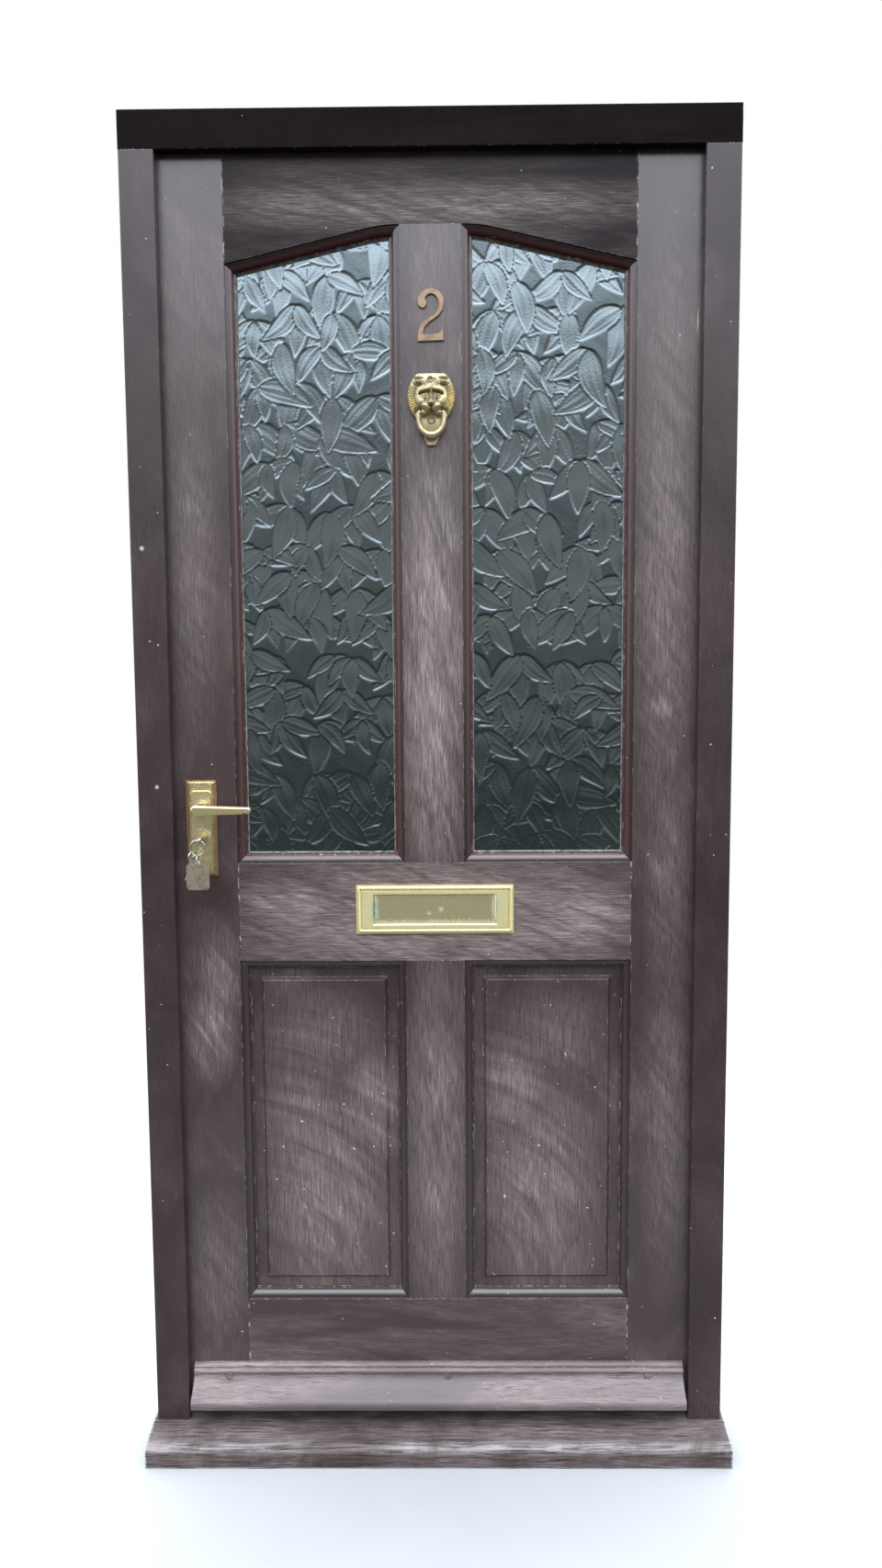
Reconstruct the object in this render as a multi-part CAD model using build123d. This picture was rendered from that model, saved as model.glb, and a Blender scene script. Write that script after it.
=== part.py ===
"""Panelled front door in its own frame, in millimetres.

X runs to the right seen from outside, Y runs into the house and Z runs up. The origin lies on
the sill's underside, on the centre line, in the plane of the leaf's outer face.
"""

import os
from math import acos, atan, cos, degrees, radians, sin, tan

from build123d import *

# Leaf and the gaps round it
LEAF_WIDTH = 838.0
LEAF_HEIGHT = 2000.0
LEAF_THICK = 44.0
LEAF_GAP = 3.0
BOTTOM_GAP = 6.0
STOP_GAP = 1.0

# Frame
FRAME_FRONT = -20.0
STOP_LAP = 13.0
JAMB_FACE = 53.0
HEAD_FACE = 57.0
ARRIS = 2.0
SILL_THICK = 42.0
SILL_FRONT = -80.0
SILL_DROP = 8.0
SILL_HALF = 468.0
SILL_NOSE = 11.0
DRIP_INSET = 12.0
DRIP_RADIUS = 3.0
FRAME_TENON_INSET = 12.0
FRAME_TENON_THICK = 14.0
FRAME_TENON_Y = 25.0
FOOT_TENON = 20.0
HEAD_TENON = 30.0
FIXING_RADIUS = 4.0
FIXING_SINK = 8.0
FIXING_HEIGHTS = (300.0, 1100.0, 1900.0)

# Water bar
BAR_FRONT = 9.0
BAR_THICK = 6.0
BAR_HEIGHT = 25.0
BAR_LET_IN = 12.0
CHECK_DEEP = 18.0
CHECK_HIGH = 12.0

# Leaf members
STILE_WIDTH = 107.0
MUNTIN_WIDTH = 94.0
LOCK_RAIL_LOW = 806.5
LOCK_RAIL_TALL = 158.0
LOCK_RAIL_TOP = LOCK_RAIL_LOW + LOCK_RAIL_TALL
BOTTOM_RAIL_TOP = 239.0
TOP_RAIL_CENTRE = 1935.5
CRANK_ANGLE = 13.0
CRANK_RADIUS = 230.0
TENON_THICK = 14.0
TENON_LONG = 70.0
MUNTIN_TENON = 25.0
MUNTIN_TENON_HALF = 30.0
MUNTIN_TENON_THICK = 12.0
TOP_TENON_LOW = 1900.0
TOP_TENON_HIGH = 2010.0
JOINT_CLEARANCE = 0.2

# Stuck moulding
MOULD_WIDTH = 15.0
MOULD_DEEP = 16.0
QUIRK_WIDE = 1.5
QUIRK_DEEP = 2.5
OVOLO_RADIUS = 11.0
MITRE_REACH = 60.0

# Panels
GROOVE_DEEP = 12.0
PANEL_TONGUE = 9.0
PANEL_MARGIN = 20.0
PANEL_RAISE = 6.0
PANEL_BEVEL = 5.0

# Glazing
GLASS_EDGE = 3.0
GLASS_BED = 1.0
GLASS_THICK = 5.0
BEAD_WIDE = 12.0
BEAD_DEEP = 13.0
SEALANT_LAP = 7.0
SEALANT_FILLET = 1.6

# Weatherboard
BOARD_HALF = 402.0
BOARD_Z = SILL_THICK
PELLET_RADIUS = 6.0
PELLET_FRONT = -15.0
PELLET_BACK = -9.0
PELLET_X = (-344.0, 15.0, 344.0)
PELLET_Z = 112.0
BOARD_SCREW = (5.0, 2.5, 38.0)

# Hinges
HINGE_HEIGHTS = (230.0, 1020.0, 1830.0)
HINGE_TALL = 100.0
HINGE_PLATE = 2.5
HINGE_FRONT = 14.0
PIN_RADIUS = 3.0
KNUCKLE_RADIUS = 6.0
KNUCKLE_COUNT = 5
KNUCKLE_GAP = 0.4
PIN_CLEARANCE = 0.05
PIN_HEAD = 4.5
PIN_HEAD_TALL = 2.0
HINGE_SCREW = (4.0, 2.0, 30.0)
HINGE_SCREW_HEIGHTS = (-38.0, -13.0, 13.0, 38.0)
HINGE_SCREW_NEAR = 8.0
HINGE_SCREW_FAR = 20.0

# Lock
BACKSET = 52.0
LEVER_Z = LOCK_RAIL_TOP + 90.5
CYLINDER_DROP = 48.0
CASE_DEEP = 76.0
CASE_THICK = 16.0
CASE_LOW = LEVER_Z - 100.0
CASE_TOP = LEVER_Z + 60.0
FOREND_THICK = 3.0
FOREND_WIDE = 22.0
FOREND_LOW = CASE_LOW - 20.0
FOREND_TOP = CASE_TOP + 20.0
FOLLOWER_RADIUS = 10.0
FOLLOWER_THICK = 14.0
SPINDLE_SIDE = 8.0
SPINDLE_OUT = 34.0
LATCH_TALL = 20.0
LATCH_WIDE = 12.0
LATCH_LONG = 34.0
LATCH_BEVEL = 10.0
BOLT_TALL = 30.0
BOLT_LONG = 30.0
SLIDE_CLEARANCE = 0.5
TURN_CLEARANCE = 0.05
KEEP_LATCH_DEEP = 14.0
KEEP_BOLT_DEEP = 24.0
STRIKE_THICK = 2.5
STRIKE_LOW = LEVER_Z - 80.0
STRIKE_TOP = LEVER_Z + 30.0
KEEP_MARGIN = 1.5
LOCK_SCREW = (3.6, 1.8, 26.0)
LOCK_SCREW_EDGE = 6.0

# Cylinder, key and what hangs from it
EURO_RADIUS = 8.5
EURO_LOBE = 5.0
EURO_DROP = 19.5
CYLINDER_FRONT = -14.0
CYLINDER_BACK = 58.0
PLUG_RADIUS = 6.0
KEY_TILT = 30.0
KEY_THICK = 2.2
KEY_BLADE = 8.0
BOW_RADIUS = 9.0
BOW_HOLE = 5.0
BOW_Y = -37.0
RING_RADIUS = 12.0
RING_WIRE = 0.9
RING_DROP = 11.5
RING_SIDE = -0.6
LINK_RADIUS = 9.5
LINK_WIRE = 0.8
TAG_WIDE = 36.0
TAG_TALL = 42.0
TAG_THICK = 1.6
TAG_CUT = 4.0
TAG_HOLE = 2.2
SPARE_THICK = 1.8
SPARE_ANGLE = 235.0

# Backplates and levers
PLATE_WIDE = 48.0
PLATE_TALL = 152.0
PLATE_THICK = 6.0
PLATE_EDGE = 2.0
PLATE_FIELD_SIDE = 7.0
PLATE_FIELD_END = 16.0
PLATE_Z = LEVER_Z - 33.4
LEVER_STANDOFF = 42.0
LEVER_THICK = 11.0
LEVER_REACH = 86.0
LEVER_NECK = 8.0
PLATE_SCREW = (3.4, 1.6, 16.0)
PLATE_SCREW_X = 12.0
PLATE_SCREW_Z = 66.5
PLATE_RING = 14.0
PLATE_BOSS = 12.0
PLATE_EMBOSS = 1.5
LEVER_HUB = 7.6
LEVER_TIP = 5.6
LEVER_ROUND = 3.0

# Letter plate
LETTER_Z = LOCK_RAIL_LOW + 83.5
LETTER_WIDE = 250.0
LETTER_TALL = 78.0
LETTER_FOOT = 3.5
LETTER_STEP = 1.5
LETTER_THICK = LETTER_FOOT + LETTER_STEP
LETTER_SIDE = 28.0
LETTER_BOLT_RADIUS = 2.5
LETTER_BOLT_HEAD = 6.0
FLAP_WIDE = LETTER_WIDE - 2 * LETTER_SIDE
FLAP_TALL = 47.0
FLAP_THICK = 2.6
FLAP_PLAY = 1.0
FLAP_PIN_RADIUS = 1.2
FLAP_PIN_LAP = 4.0
FLAP_PIN_Y = -1.3
FLAP_KNUCKLE = 2.3
FLAP_SPRING_LONG = 14.0
FLAP_SPRING_WIRE = 0.35
FLAP_SLOPE = 1.4
ROPE_RADIUS = 2.3
ROPE_INSET = 4.6
ROPE_BED = 8.6

# Knocker
KNOCKER_Z = 1656.0
KNOCKER_TOP = 1715.5
KNOCKER_LOW = 1608.0
KNOCKER_PLATE = 5.0
KNOCKER_SCREW = (4.0, 2.0, 34.0)
PIVOT_Y = -13.0
FACE_Z = KNOCKER_Z + 22.0
PIVOT_PIN = 1.8
LUG_RADIUS = 4.2
LUG_HALF = 3.5
RING_SAG = 33.0
RING_HALF = 18.0
RING_WIDEST = 19.6
RING_THIN = 3.1
RING_SWELL = 2.2
MANE_THICK = 9.0

# Numeral
NUMERAL_Z = 1802.0
NUMERAL_TALL = 78.0
NUMERAL_WIDE = 40.0
NUMERAL_THICK = 3.6
NUMERAL_BEVEL = 0.9
NUMERAL_SCREW = (2.4, 1.2, 18.0)

LEAF_HALF = LEAF_WIDTH / 2
REBATE_HALF = LEAF_HALF + LEAF_GAP
STOP_HALF = REBATE_HALF - STOP_LAP
FRAME_HALF = STOP_HALF + JAMB_FACE
FRAME_BACK = LEAF_THICK
LEAF_BOTTOM = SILL_THICK + BOTTOM_GAP
LEAF_TOP = LEAF_BOTTOM + LEAF_HEIGHT
HEAD_REBATE = LEAF_TOP + LEAF_GAP
HEAD_STOP = HEAD_REBATE - STOP_LAP
FRAME_TOP = HEAD_STOP + HEAD_FACE
OPENING_OUT = LEAF_HALF - STILE_WIDTH
OPENING_IN = MUNTIN_WIDTH / 2
MID_Y = LEAF_THICK / 2
HINGE_X = LEAF_HALF + LEAF_GAP / 2
HINGE_Y = LEAF_THICK + KNUCKLE_RADIUS + 0.5
HANDLE_X = -LEAF_HALF + BACKSET
CYLINDER_Z = LEVER_Z - CYLINDER_DROP
GLASS_FRONT = MOULD_DEEP + GLASS_BED
LUG_X = RING_HALF - RING_THIN - 0.7 - LUG_HALF
PIN_END = LUG_X - 1.0
PANEL_FRONT = MOULD_DEEP + JOINT_CLEARANCE / 2
PANEL_BACK = LEAF_THICK - PANEL_FRONT


def block(x0, x1, y0, y1, z0, z1):
    """A box between two corners."""
    middle = Pos((x0 + x1) / 2, (y0 + y1) / 2, (z0 + z1) / 2)
    return middle * Box(x1 - x0, y1 - y0, z1 - z0)


def rod_x(y, z, radius, x0, x1):
    return Pos((x0 + x1) / 2, y, z) * Rot(0, 90, 0) * Cylinder(radius, x1 - x0)


def rod_y(x, z, radius, y0, y1):
    return Pos(x, (y0 + y1) / 2, z) * Rot(90, 0, 0) * Cylinder(radius, y1 - y0)


def rod_z(x, y, radius, z0, z1):
    return Pos(x, y, (z0 + z1) / 2) * Cylinder(radius, z1 - z0)


def slab(sketch, y0, y1):
    """A front-view sketch given depth from y0 to y1."""
    return extrude(Plane.XZ.offset(-y1) * sketch, amount=y1 - y0)


def run_x(sketch, x0, x1):
    """A side-view sketch, Y across and Z up, run from x0 to x1."""
    return extrude(Plane.YZ.offset(x0) * sketch, amount=x1 - x0)


def run_z(sketch, z0, z1):
    """A plan sketch run from z0 to z1."""
    return extrude(Plane.XY.offset(z0) * sketch, amount=z1 - z0)


def polygon(*points):
    return make_face(Polyline(*points, close=True))


def mirrored(shape):
    return mirror(shape, about=Plane.YZ)


def screw(x, y, z, direction, head, shank, long):
    """A countersunk screw whose flat head lies at the given point and whose shank runs along."""
    countersink = head - shank
    body = Pos(0, 0, countersink / 2) * Cone(head, shank, countersink)
    body += Pos(0, 0, long / 2) * Cylinder(shank, long)
    slot = Pos(0, 0, 0.4) * Box(2 * head, head / 4, 0.8)
    return Plane(origin=(x, y, z), z_dir=direction) * (body - slot)


def bore(x, y, z, direction, head, shank, long):
    """The hole that a screw fills, open at its head."""
    countersink = head - shank
    body = Pos(0, 0, countersink / 2) * Cone(head, shank, countersink)
    body += Pos(0, 0, long / 2) * Cylinder(shank, long)
    return Plane(origin=(x, y, z), z_dir=direction) * body


def group(solids):
    return Compound(children=list(solids))


def drill(shape, places):
    for place in places:
        shape -= bore(*place)
    return shape


# Frame


def sill():
    profile = polygon(
        (SILL_FRONT, 0),
        (FRAME_BACK, 0),
        (FRAME_BACK, SILL_THICK),
        (FRAME_FRONT, SILL_THICK),
        (SILL_FRONT, SILL_THICK - SILL_DROP),
    )
    nose = profile.vertices().sort_by(Axis.X)[:2].sort_by(Axis.Y)[-1]
    body = run_x(fillet(nose, SILL_NOSE), -SILL_HALF, SILL_HALF)
    drip = rod_x(SILL_FRONT + DRIP_INSET, 0, DRIP_RADIUS, -SILL_HALF - 1, SILL_HALF + 1)
    body -= drip
    return body - water_bar() - tenons_low(JOINT_CLEARANCE)


def water_bar():
    low = SILL_THICK - BAR_LET_IN
    half = REBATE_HALF - 1
    return block(-half, half, BAR_FRONT, BAR_FRONT + BAR_THICK, low, low + BAR_HEIGHT)


def frame_tenon(z0, z1, grow):
    """A tenon at one end of the right jamb."""
    x0 = REBATE_HALF + FRAME_TENON_INSET - grow
    x1 = FRAME_HALF - FRAME_TENON_INSET + grow
    half = FRAME_TENON_THICK / 2 + grow
    return block(x0, x1, FRAME_TENON_Y - half, FRAME_TENON_Y + half, z0, z1)


def tenon_at_foot(grow):
    return frame_tenon(SILL_THICK - FOOT_TENON - grow, SILL_THICK, grow)


def tenons_low(grow):
    foot = tenon_at_foot(grow)
    return foot + mirrored(foot)


def tenon_at_head(grow):
    return frame_tenon(HEAD_REBATE, HEAD_REBATE + HEAD_TENON + grow, grow)


def frame_head():
    profile = polygon(
        (FRAME_FRONT, HEAD_STOP),
        (-STOP_GAP, HEAD_STOP),
        (-STOP_GAP, HEAD_REBATE),
        (FRAME_BACK, HEAD_REBATE),
        (FRAME_BACK, FRAME_TOP),
        (FRAME_FRONT, FRAME_TOP),
    )
    arris = profile.vertices().sort_by(Axis.X)[:2]
    body = run_x(fillet(arris, ARRIS), -FRAME_HALF, FRAME_HALF)
    head = tenon_at_head(JOINT_CLEARANCE)
    return body - head - mirrored(head)


def jamb():
    """The hinge jamb: a rebated post with a tenon at each end."""
    profile = polygon(
        (STOP_HALF, FRAME_FRONT),
        (FRAME_HALF, FRAME_FRONT),
        (FRAME_HALF, FRAME_BACK),
        (REBATE_HALF, FRAME_BACK),
        (REBATE_HALF, -STOP_GAP),
        (STOP_HALF, -STOP_GAP),
    )
    arris = profile.vertices().sort_by(Axis.Y)[:2]
    body = run_z(fillet(arris, ARRIS), SILL_THICK, HEAD_STOP)
    top = block(REBATE_HALF, FRAME_HALF, -STOP_GAP, FRAME_BACK, HEAD_STOP, HEAD_REBATE)
    body += top
    body += tenon_at_foot(0)
    body += tenon_at_head(0)
    for z in FIXING_HEIGHTS:
        body -= rod_x(MID_Y, z, FIXING_RADIUS, REBATE_HALF - 1, FRAME_HALF + 1)
        body -= rod_x(MID_Y, z, 2 * FIXING_RADIUS, REBATE_HALF - 1, REBATE_HALF + FIXING_SINK)
    return body


def hinge_jamb():
    body = jamb()
    for z in HINGE_HEIGHTS:
        body -= hinge_flap(z, 1)
    return drill(body, frame_hinge_screws())


def strike_jamb():
    body = mirrored(jamb())
    body -= block(
        -REBATE_HALF - STRIKE_THICK,
        -REBATE_HALF + 1,
        MID_Y - FOREND_WIDE / 2,
        MID_Y + FOREND_WIDE / 2,
        STRIKE_LOW,
        STRIKE_TOP,
    )
    body -= keep_hole(LEVER_Z, LATCH_TALL, KEEP_LATCH_DEEP)
    body -= keep_hole(CYLINDER_Z, BOLT_TALL, KEEP_BOLT_DEEP)
    return drill(body, strike_screw_places())


def keep_hole(z, tall, deep):
    half_y = LATCH_WIDE / 2 + KEEP_MARGIN
    half_z = tall / 2 + KEEP_MARGIN
    return block(
        -REBATE_HALF - deep,
        -REBATE_HALF + 1,
        MID_Y - half_y,
        MID_Y + half_y,
        z - half_z,
        z + half_z,
    )


def strike_plate():
    body = block(
        -REBATE_HALF - STRIKE_THICK,
        -REBATE_HALF,
        MID_Y - FOREND_WIDE / 2,
        MID_Y + FOREND_WIDE / 2,
        STRIKE_LOW,
        STRIKE_TOP,
    )
    body -= keep_hole(LEVER_Z, LATCH_TALL, KEEP_LATCH_DEEP)
    body -= keep_hole(CYLINDER_Z, BOLT_TALL, KEEP_BOLT_DEEP)
    return drill(body, strike_screw_places())


def strike_screw_places():
    places = []
    for z in (STRIKE_LOW + LOCK_SCREW_EDGE, STRIKE_TOP - LOCK_SCREW_EDGE):
        places.append((-REBATE_HALF, MID_Y, z, (-1, 0, 0), *LOCK_SCREW))
    return places


# Hinges


def hinge_side(side):
    """The x range of a let-in hinge plate: 1 on the jamb, 0 on the leaf."""
    if side:
        return REBATE_HALF, REBATE_HALF + HINGE_PLATE
    return LEAF_HALF - HINGE_PLATE, LEAF_HALF


def hinge_flap(z, side):
    x0, x1 = hinge_side(side)
    half = HINGE_TALL / 2
    return block(x0, x1, HINGE_FRONT, LEAF_THICK, z - half, z + half)


def knuckles(z, side):
    """The barrel lengths that belong to the jamb's plate, or to the leaf's."""
    pitch = HINGE_TALL / KNUCKLE_COUNT
    x0, x1 = hinge_side(side)
    barrel = None
    for k in range(1 - side, KNUCKLE_COUNT, 2):
        low = z - HINGE_TALL / 2 + k * pitch + KNUCKLE_GAP / 2
        top = low + pitch - KNUCKLE_GAP
        piece = rod_z(HINGE_X, HINGE_Y, KNUCKLE_RADIUS, low, top)
        piece += block(x0, x1, LEAF_THICK - 1, HINGE_Y, low, top)
        barrel = piece if barrel is None else barrel + piece
    return barrel


def hinge_plate(z, side, places):
    body = hinge_flap(z, side) + knuckles(z, side)
    half = HINGE_TALL / 2 + 1
    bore_radius = PIN_RADIUS + PIN_CLEARANCE
    body -= rod_z(HINGE_X, HINGE_Y, bore_radius, z - half, z + half)
    near = [p for p in places if abs(p[2] - z) < HINGE_TALL]
    return drill(body, near)


def hinge_pin(z):
    half = HINGE_TALL / 2
    pin = rod_z(HINGE_X, HINGE_Y, PIN_RADIUS, z - half - 1, z + half + 1)
    gap = KNUCKLE_GAP / 2
    for low in (z - half - gap - PIN_HEAD_TALL, z + half + gap):
        pin += rod_z(HINGE_X, HINGE_Y, PIN_HEAD, low, low + PIN_HEAD_TALL)
    return pin


def hinge_screw_points():
    points = []
    for z in HINGE_HEIGHTS:
        for k, dz in enumerate(HINGE_SCREW_HEIGHTS):
            across = HINGE_SCREW_NEAR if k % 2 else HINGE_SCREW_FAR
            points.append((HINGE_FRONT + across, z + dz))
    return points


def frame_hinge_screws():
    points = hinge_screw_points()
    return [(REBATE_HALF, y, z, (1, 0, 0), *HINGE_SCREW) for y, z in points]


def leaf_hinge_screws():
    points = hinge_screw_points()
    return [(LEAF_HALF, y, z, (-1, 0, 0), *HINGE_SCREW) for y, z in points]


# Openings of the leaf, seen from the front, and their moulded edges


def crank_end():
    """Where the top rail's underside meets the stile."""
    run = OPENING_OUT - OPENING_IN - CRANK_RADIUS * sin(radians(CRANK_ANGLE))
    fall = CRANK_RADIUS * (1 - cos(radians(CRANK_ANGLE)))
    return TOP_RAIL_CENTRE - fall - run * tan(radians(CRANK_ANGLE))


def crank_edges(inset):
    """The top of the left upper opening, moved inwards by the inset, from stile to muntin."""
    centre_z = TOP_RAIL_CENTRE - CRANK_RADIUS
    turn = radians(CRANK_ANGLE)
    start_x = -OPENING_OUT + inset
    start_z = crank_end() - inset * (1 - sin(turn)) / cos(turn)
    bend = (-OPENING_IN - CRANK_RADIUS * sin(turn), centre_z + CRANK_RADIUS * cos(turn))
    bend = (bend[0] + inset * sin(turn), bend[1] - inset * cos(turn))
    radius = CRANK_RADIUS - inset
    middle = turn / 2
    via = (-OPENING_IN - radius * sin(middle), centre_z + radius * cos(middle))
    end = (-OPENING_IN, centre_z + radius)
    return (start_x, start_z), bend, via, end


def upper_opening(inset):
    """The face of the left upper opening drawn in by the inset on every side."""
    start, bend, via, end = crank_edges(inset)
    low = LOCK_RAIL_TOP + inset
    right = -OPENING_IN - inset
    centre_z = TOP_RAIL_CENTRE - CRANK_RADIUS
    radius = CRANK_RADIUS - inset
    lean = inset / radius
    end = (right, centre_z + radius * cos(lean))
    outline = Polyline((right, end[1]), (right, low), (start[0], low), start, bend)
    outline += ThreePointArc(bend, via, end)
    return make_face(outline)


def ovolo(deep):
    """Section of the stuck moulding: across the opening, then into the leaf."""
    foot_x = QUIRK_WIDE + OVOLO_RADIUS
    foot_y = QUIRK_DEEP + OVOLO_RADIUS
    bulge = OVOLO_RADIUS * sin(radians(45))
    middle = (QUIRK_WIDE + bulge, foot_y - bulge)
    outline = Polyline((foot_x, foot_y), (MOULD_WIDTH, foot_y), (MOULD_WIDTH, deep))
    outline += Polyline((MOULD_WIDTH, deep), (0, deep), (0, QUIRK_DEEP), (QUIRK_WIDE, QUIRK_DEEP))
    outline += ThreePointArc((QUIRK_WIDE, QUIRK_DEEP), middle, (foot_x, foot_y))
    return make_face(outline)


def glazing_bead_section():
    low = GLASS_FRONT + GLASS_THICK + JOINT_CLEARANCE
    top = low + BEAD_DEEP
    half = BEAD_WIDE / 2
    return polygon((0.3, low), (BEAD_WIDE, low), (BEAD_WIDE, top - half), (half, top), (0.3, top))


def sealant_section():
    inner = MOULD_WIDTH - SEALANT_LAP
    outer = MOULD_WIDTH + SEALANT_FILLET
    step = MOULD_DEEP - SEALANT_FILLET
    return polygon(
        (inner, MOULD_DEEP),
        (MOULD_WIDTH, MOULD_DEEP),
        (MOULD_WIDTH, step + 0.6),
        (outer, GLASS_FRONT - 0.6),
        (outer, GLASS_FRONT),
        (inner, GLASS_FRONT),
    )


def away(point, direction, distance):
    return (point[0] + distance * direction[0], point[1] + distance * direction[1])


def mitre(point, first, second):
    """Where a corner goes for each millimetre that both its sides move inwards."""
    share = 1 + first[0] * second[0] + first[1] * second[1]
    return ((first[0] + second[0]) / share, (first[1] + second[1]) / share)


def strip(section, start, end, inward, mitre_start, mitre_end, curve=None):
    """A moulding along one side, cut to its mitres, from the start clockwise to the end."""
    reach = MITRE_REACH
    length = ((end[0] - start[0]) ** 2 + (end[1] - start[1]) ** 2) ** 0.5
    along = ((end[0] - start[0]) / length, (end[1] - start[1]) / length)
    if curve is None:
        first = away(start, along, -reach)
        at = Plane((first[0], 0, first[1]), (inward[0], 0, inward[1]), (along[0], 0, along[1]))
        body = extrude(at * section, amount=length + 2 * reach)
    else:
        body = curve
    corners = (
        away(start, mitre_start, -reach),
        away(end, mitre_end, -reach),
        away(end, mitre_end, reach),
        away(start, mitre_start, reach),
    )
    return body & slab(polygon(*corners), -1, LEAF_THICK + 1)


def crank_sweep(section):
    """The same section along the cranked top, run on past both corners."""
    reach = MITRE_REACH
    turn = radians(CRANK_ANGLE)
    start, bend, via, end = crank_edges(0)
    slope = (cos(turn), sin(turn))
    first = away(start, slope, -reach)
    inward = (sin(turn), -cos(turn))
    at = Plane((first[0], 0, first[1]), (inward[0], 0, inward[1]), (slope[0], 0, slope[1]))
    length = ((bend[0] - first[0]) ** 2 + (bend[1] - first[1]) ** 2) ** 0.5
    straight = extrude(at * section, amount=length)
    at = Plane((end[0], 0, end[1]), (0, 0, -1), (1, 0, 0))
    level = extrude(at * section, amount=reach)
    centre = Axis((end[0], 0, end[1] - CRANK_RADIUS), (0, -1, 0))
    bent = revolve(at * section, axis=centre, revolution_arc=CRANK_ANGLE)
    return straight + bent + level


LEFT, RIGHT, UP, DOWN = (-1, 0), (1, 0), (0, 1), (0, -1)


def upper_strips(section):
    """The four mitred sides of the left upper opening: stile, top, muntin and lock rail."""
    turn = radians(CRANK_ANGLE)
    lean = (sin(turn), -cos(turn))
    low_left = (-OPENING_OUT, LOCK_RAIL_TOP)
    top_left = (-OPENING_OUT, crank_end())
    top_right = (-OPENING_IN, TOP_RAIL_CENTRE)
    low_right = (-OPENING_IN, LOCK_RAIL_TOP)
    at_low_left = mitre(low_left, UP, RIGHT)
    at_top_left = mitre(top_left, RIGHT, lean)
    at_top_right = mitre(top_right, DOWN, LEFT)
    at_low_right = mitre(low_right, LEFT, UP)
    side = strip(section, low_left, top_left, RIGHT, at_low_left, at_top_left)
    curve = crank_sweep(section)
    top = strip(section, top_left, top_right, lean, at_top_left, at_top_right, curve)
    muntin = strip(section, top_right, low_right, LEFT, at_top_right, at_low_right)
    low = strip(section, low_right, low_left, UP, at_low_right, at_low_left)
    return side, top, muntin, low


def lower_strips(section):
    """The four mitred sides of the left panel's opening: stile, lock rail, muntin, bottom rail."""
    low_left = (-OPENING_OUT, BOTTOM_RAIL_TOP)
    top_left = (-OPENING_OUT, LOCK_RAIL_LOW)
    top_right = (-OPENING_IN, LOCK_RAIL_LOW)
    low_right = (-OPENING_IN, BOTTOM_RAIL_TOP)
    at_low_left = mitre(low_left, UP, RIGHT)
    at_top_left = mitre(top_left, RIGHT, DOWN)
    at_top_right = mitre(top_right, DOWN, LEFT)
    at_low_right = mitre(low_right, LEFT, UP)
    side = strip(section, low_left, top_left, RIGHT, at_low_left, at_top_left)
    top = strip(section, top_left, top_right, DOWN, at_top_left, at_top_right)
    muntin = strip(section, top_right, low_right, LEFT, at_top_right, at_low_right)
    low = strip(section, low_right, low_left, UP, at_low_right, at_low_left)
    return side, top, muntin, low


UPPER = upper_strips(ovolo(MOULD_DEEP))
LOWER_FRONT = lower_strips(ovolo(MOULD_DEEP))
MIDDLE_PLANE = Plane.XZ.offset(-MID_Y)
LOWER = [front + mirror(front, about=MIDDLE_PLANE) for front in LOWER_FRONT]


def panel_grooves():
    """The ring of groove round the left panel's opening."""
    y0, y1 = MOULD_DEEP, LEAF_THICK - MOULD_DEEP
    x0, x1 = -OPENING_OUT, -OPENING_IN
    z0, z1 = BOTTOM_RAIL_TOP, LOCK_RAIL_LOW
    deep = GROOVE_DEEP
    return block(x0 - deep, x1 + deep, y0, y1, z0 - deep, z1 + deep)


def bottom_check():
    """The step along the leaf's foot that lets it close over the water bar."""
    low, top = LEAF_BOTTOM - 1, LEAF_BOTTOM + CHECK_HIGH
    return block(-LEAF_HALF - 1, LEAF_HALF + 1, -1, CHECK_DEEP, low, top)


def rail_tenons(z0, z1, grow):
    """Tenons of one rail at both ends."""
    y0, y1 = MID_Y - TENON_THICK / 2 - grow, MID_Y + TENON_THICK / 2 + grow
    x1 = -OPENING_OUT
    left = block(x1 - TENON_LONG - grow, x1, y0, y1, z0 - grow, z1 + grow)
    return left + mirrored(left)


RAIL_TENONS = (
    (LEAF_BOTTOM + 40, BOTTOM_RAIL_TOP - 20),
    (LOCK_RAIL_LOW + 20, LOCK_RAIL_TOP - 24),
    (TOP_TENON_LOW, TOP_TENON_HIGH),
)
MUNTIN_TENONS = (
    (BOTTOM_RAIL_TOP - MUNTIN_TENON, BOTTOM_RAIL_TOP),
    (LOCK_RAIL_LOW, LOCK_RAIL_LOW + MUNTIN_TENON),
    (LOCK_RAIL_TOP - MUNTIN_TENON, LOCK_RAIL_TOP),
    (TOP_RAIL_CENTRE, TOP_RAIL_CENTRE + MUNTIN_TENON),
)


def muntin_tenon(k, grow):
    z0, z1 = MUNTIN_TENONS[k]
    half = MUNTIN_TENON_HALF + grow
    deep = MUNTIN_TENON_THICK / 2 + grow
    y0, y1 = MID_Y - deep, MID_Y + deep
    if k in (0, 2):
        return block(-half, half, y0, y1, z0 - grow, z1)
    return block(-half, half, y0, y1, z0, z1 + grow)


def lock_stile_bar():
    bar = block(-LEAF_HALF, -OPENING_OUT, 0, LEAF_THICK, LEAF_BOTTOM, LEAF_TOP)
    bar -= panel_grooves()
    for z0, z1 in RAIL_TENONS:
        bar -= rail_tenons(z0, z1, JOINT_CLEARANCE)
    bar += UPPER[0]
    bar += LOWER[0]
    for screw_body in board_screws():
        bar -= screw_body
        bar -= mirrored(screw_body)
    return bar - bottom_check()


def lock_stile():
    bar = lock_stile_bar() - lock_body_room()
    bar -= forend_blank()
    bar -= euro_prism(-1, LEAF_THICK + 1, 1.0)
    bar -= rod_y(HANDLE_X, LEVER_Z, 9.0, -1, LEAF_THICK + 1)
    bar = drill(bar, backplate_screw_places())
    return drill(bar, forend_screw_places())


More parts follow.
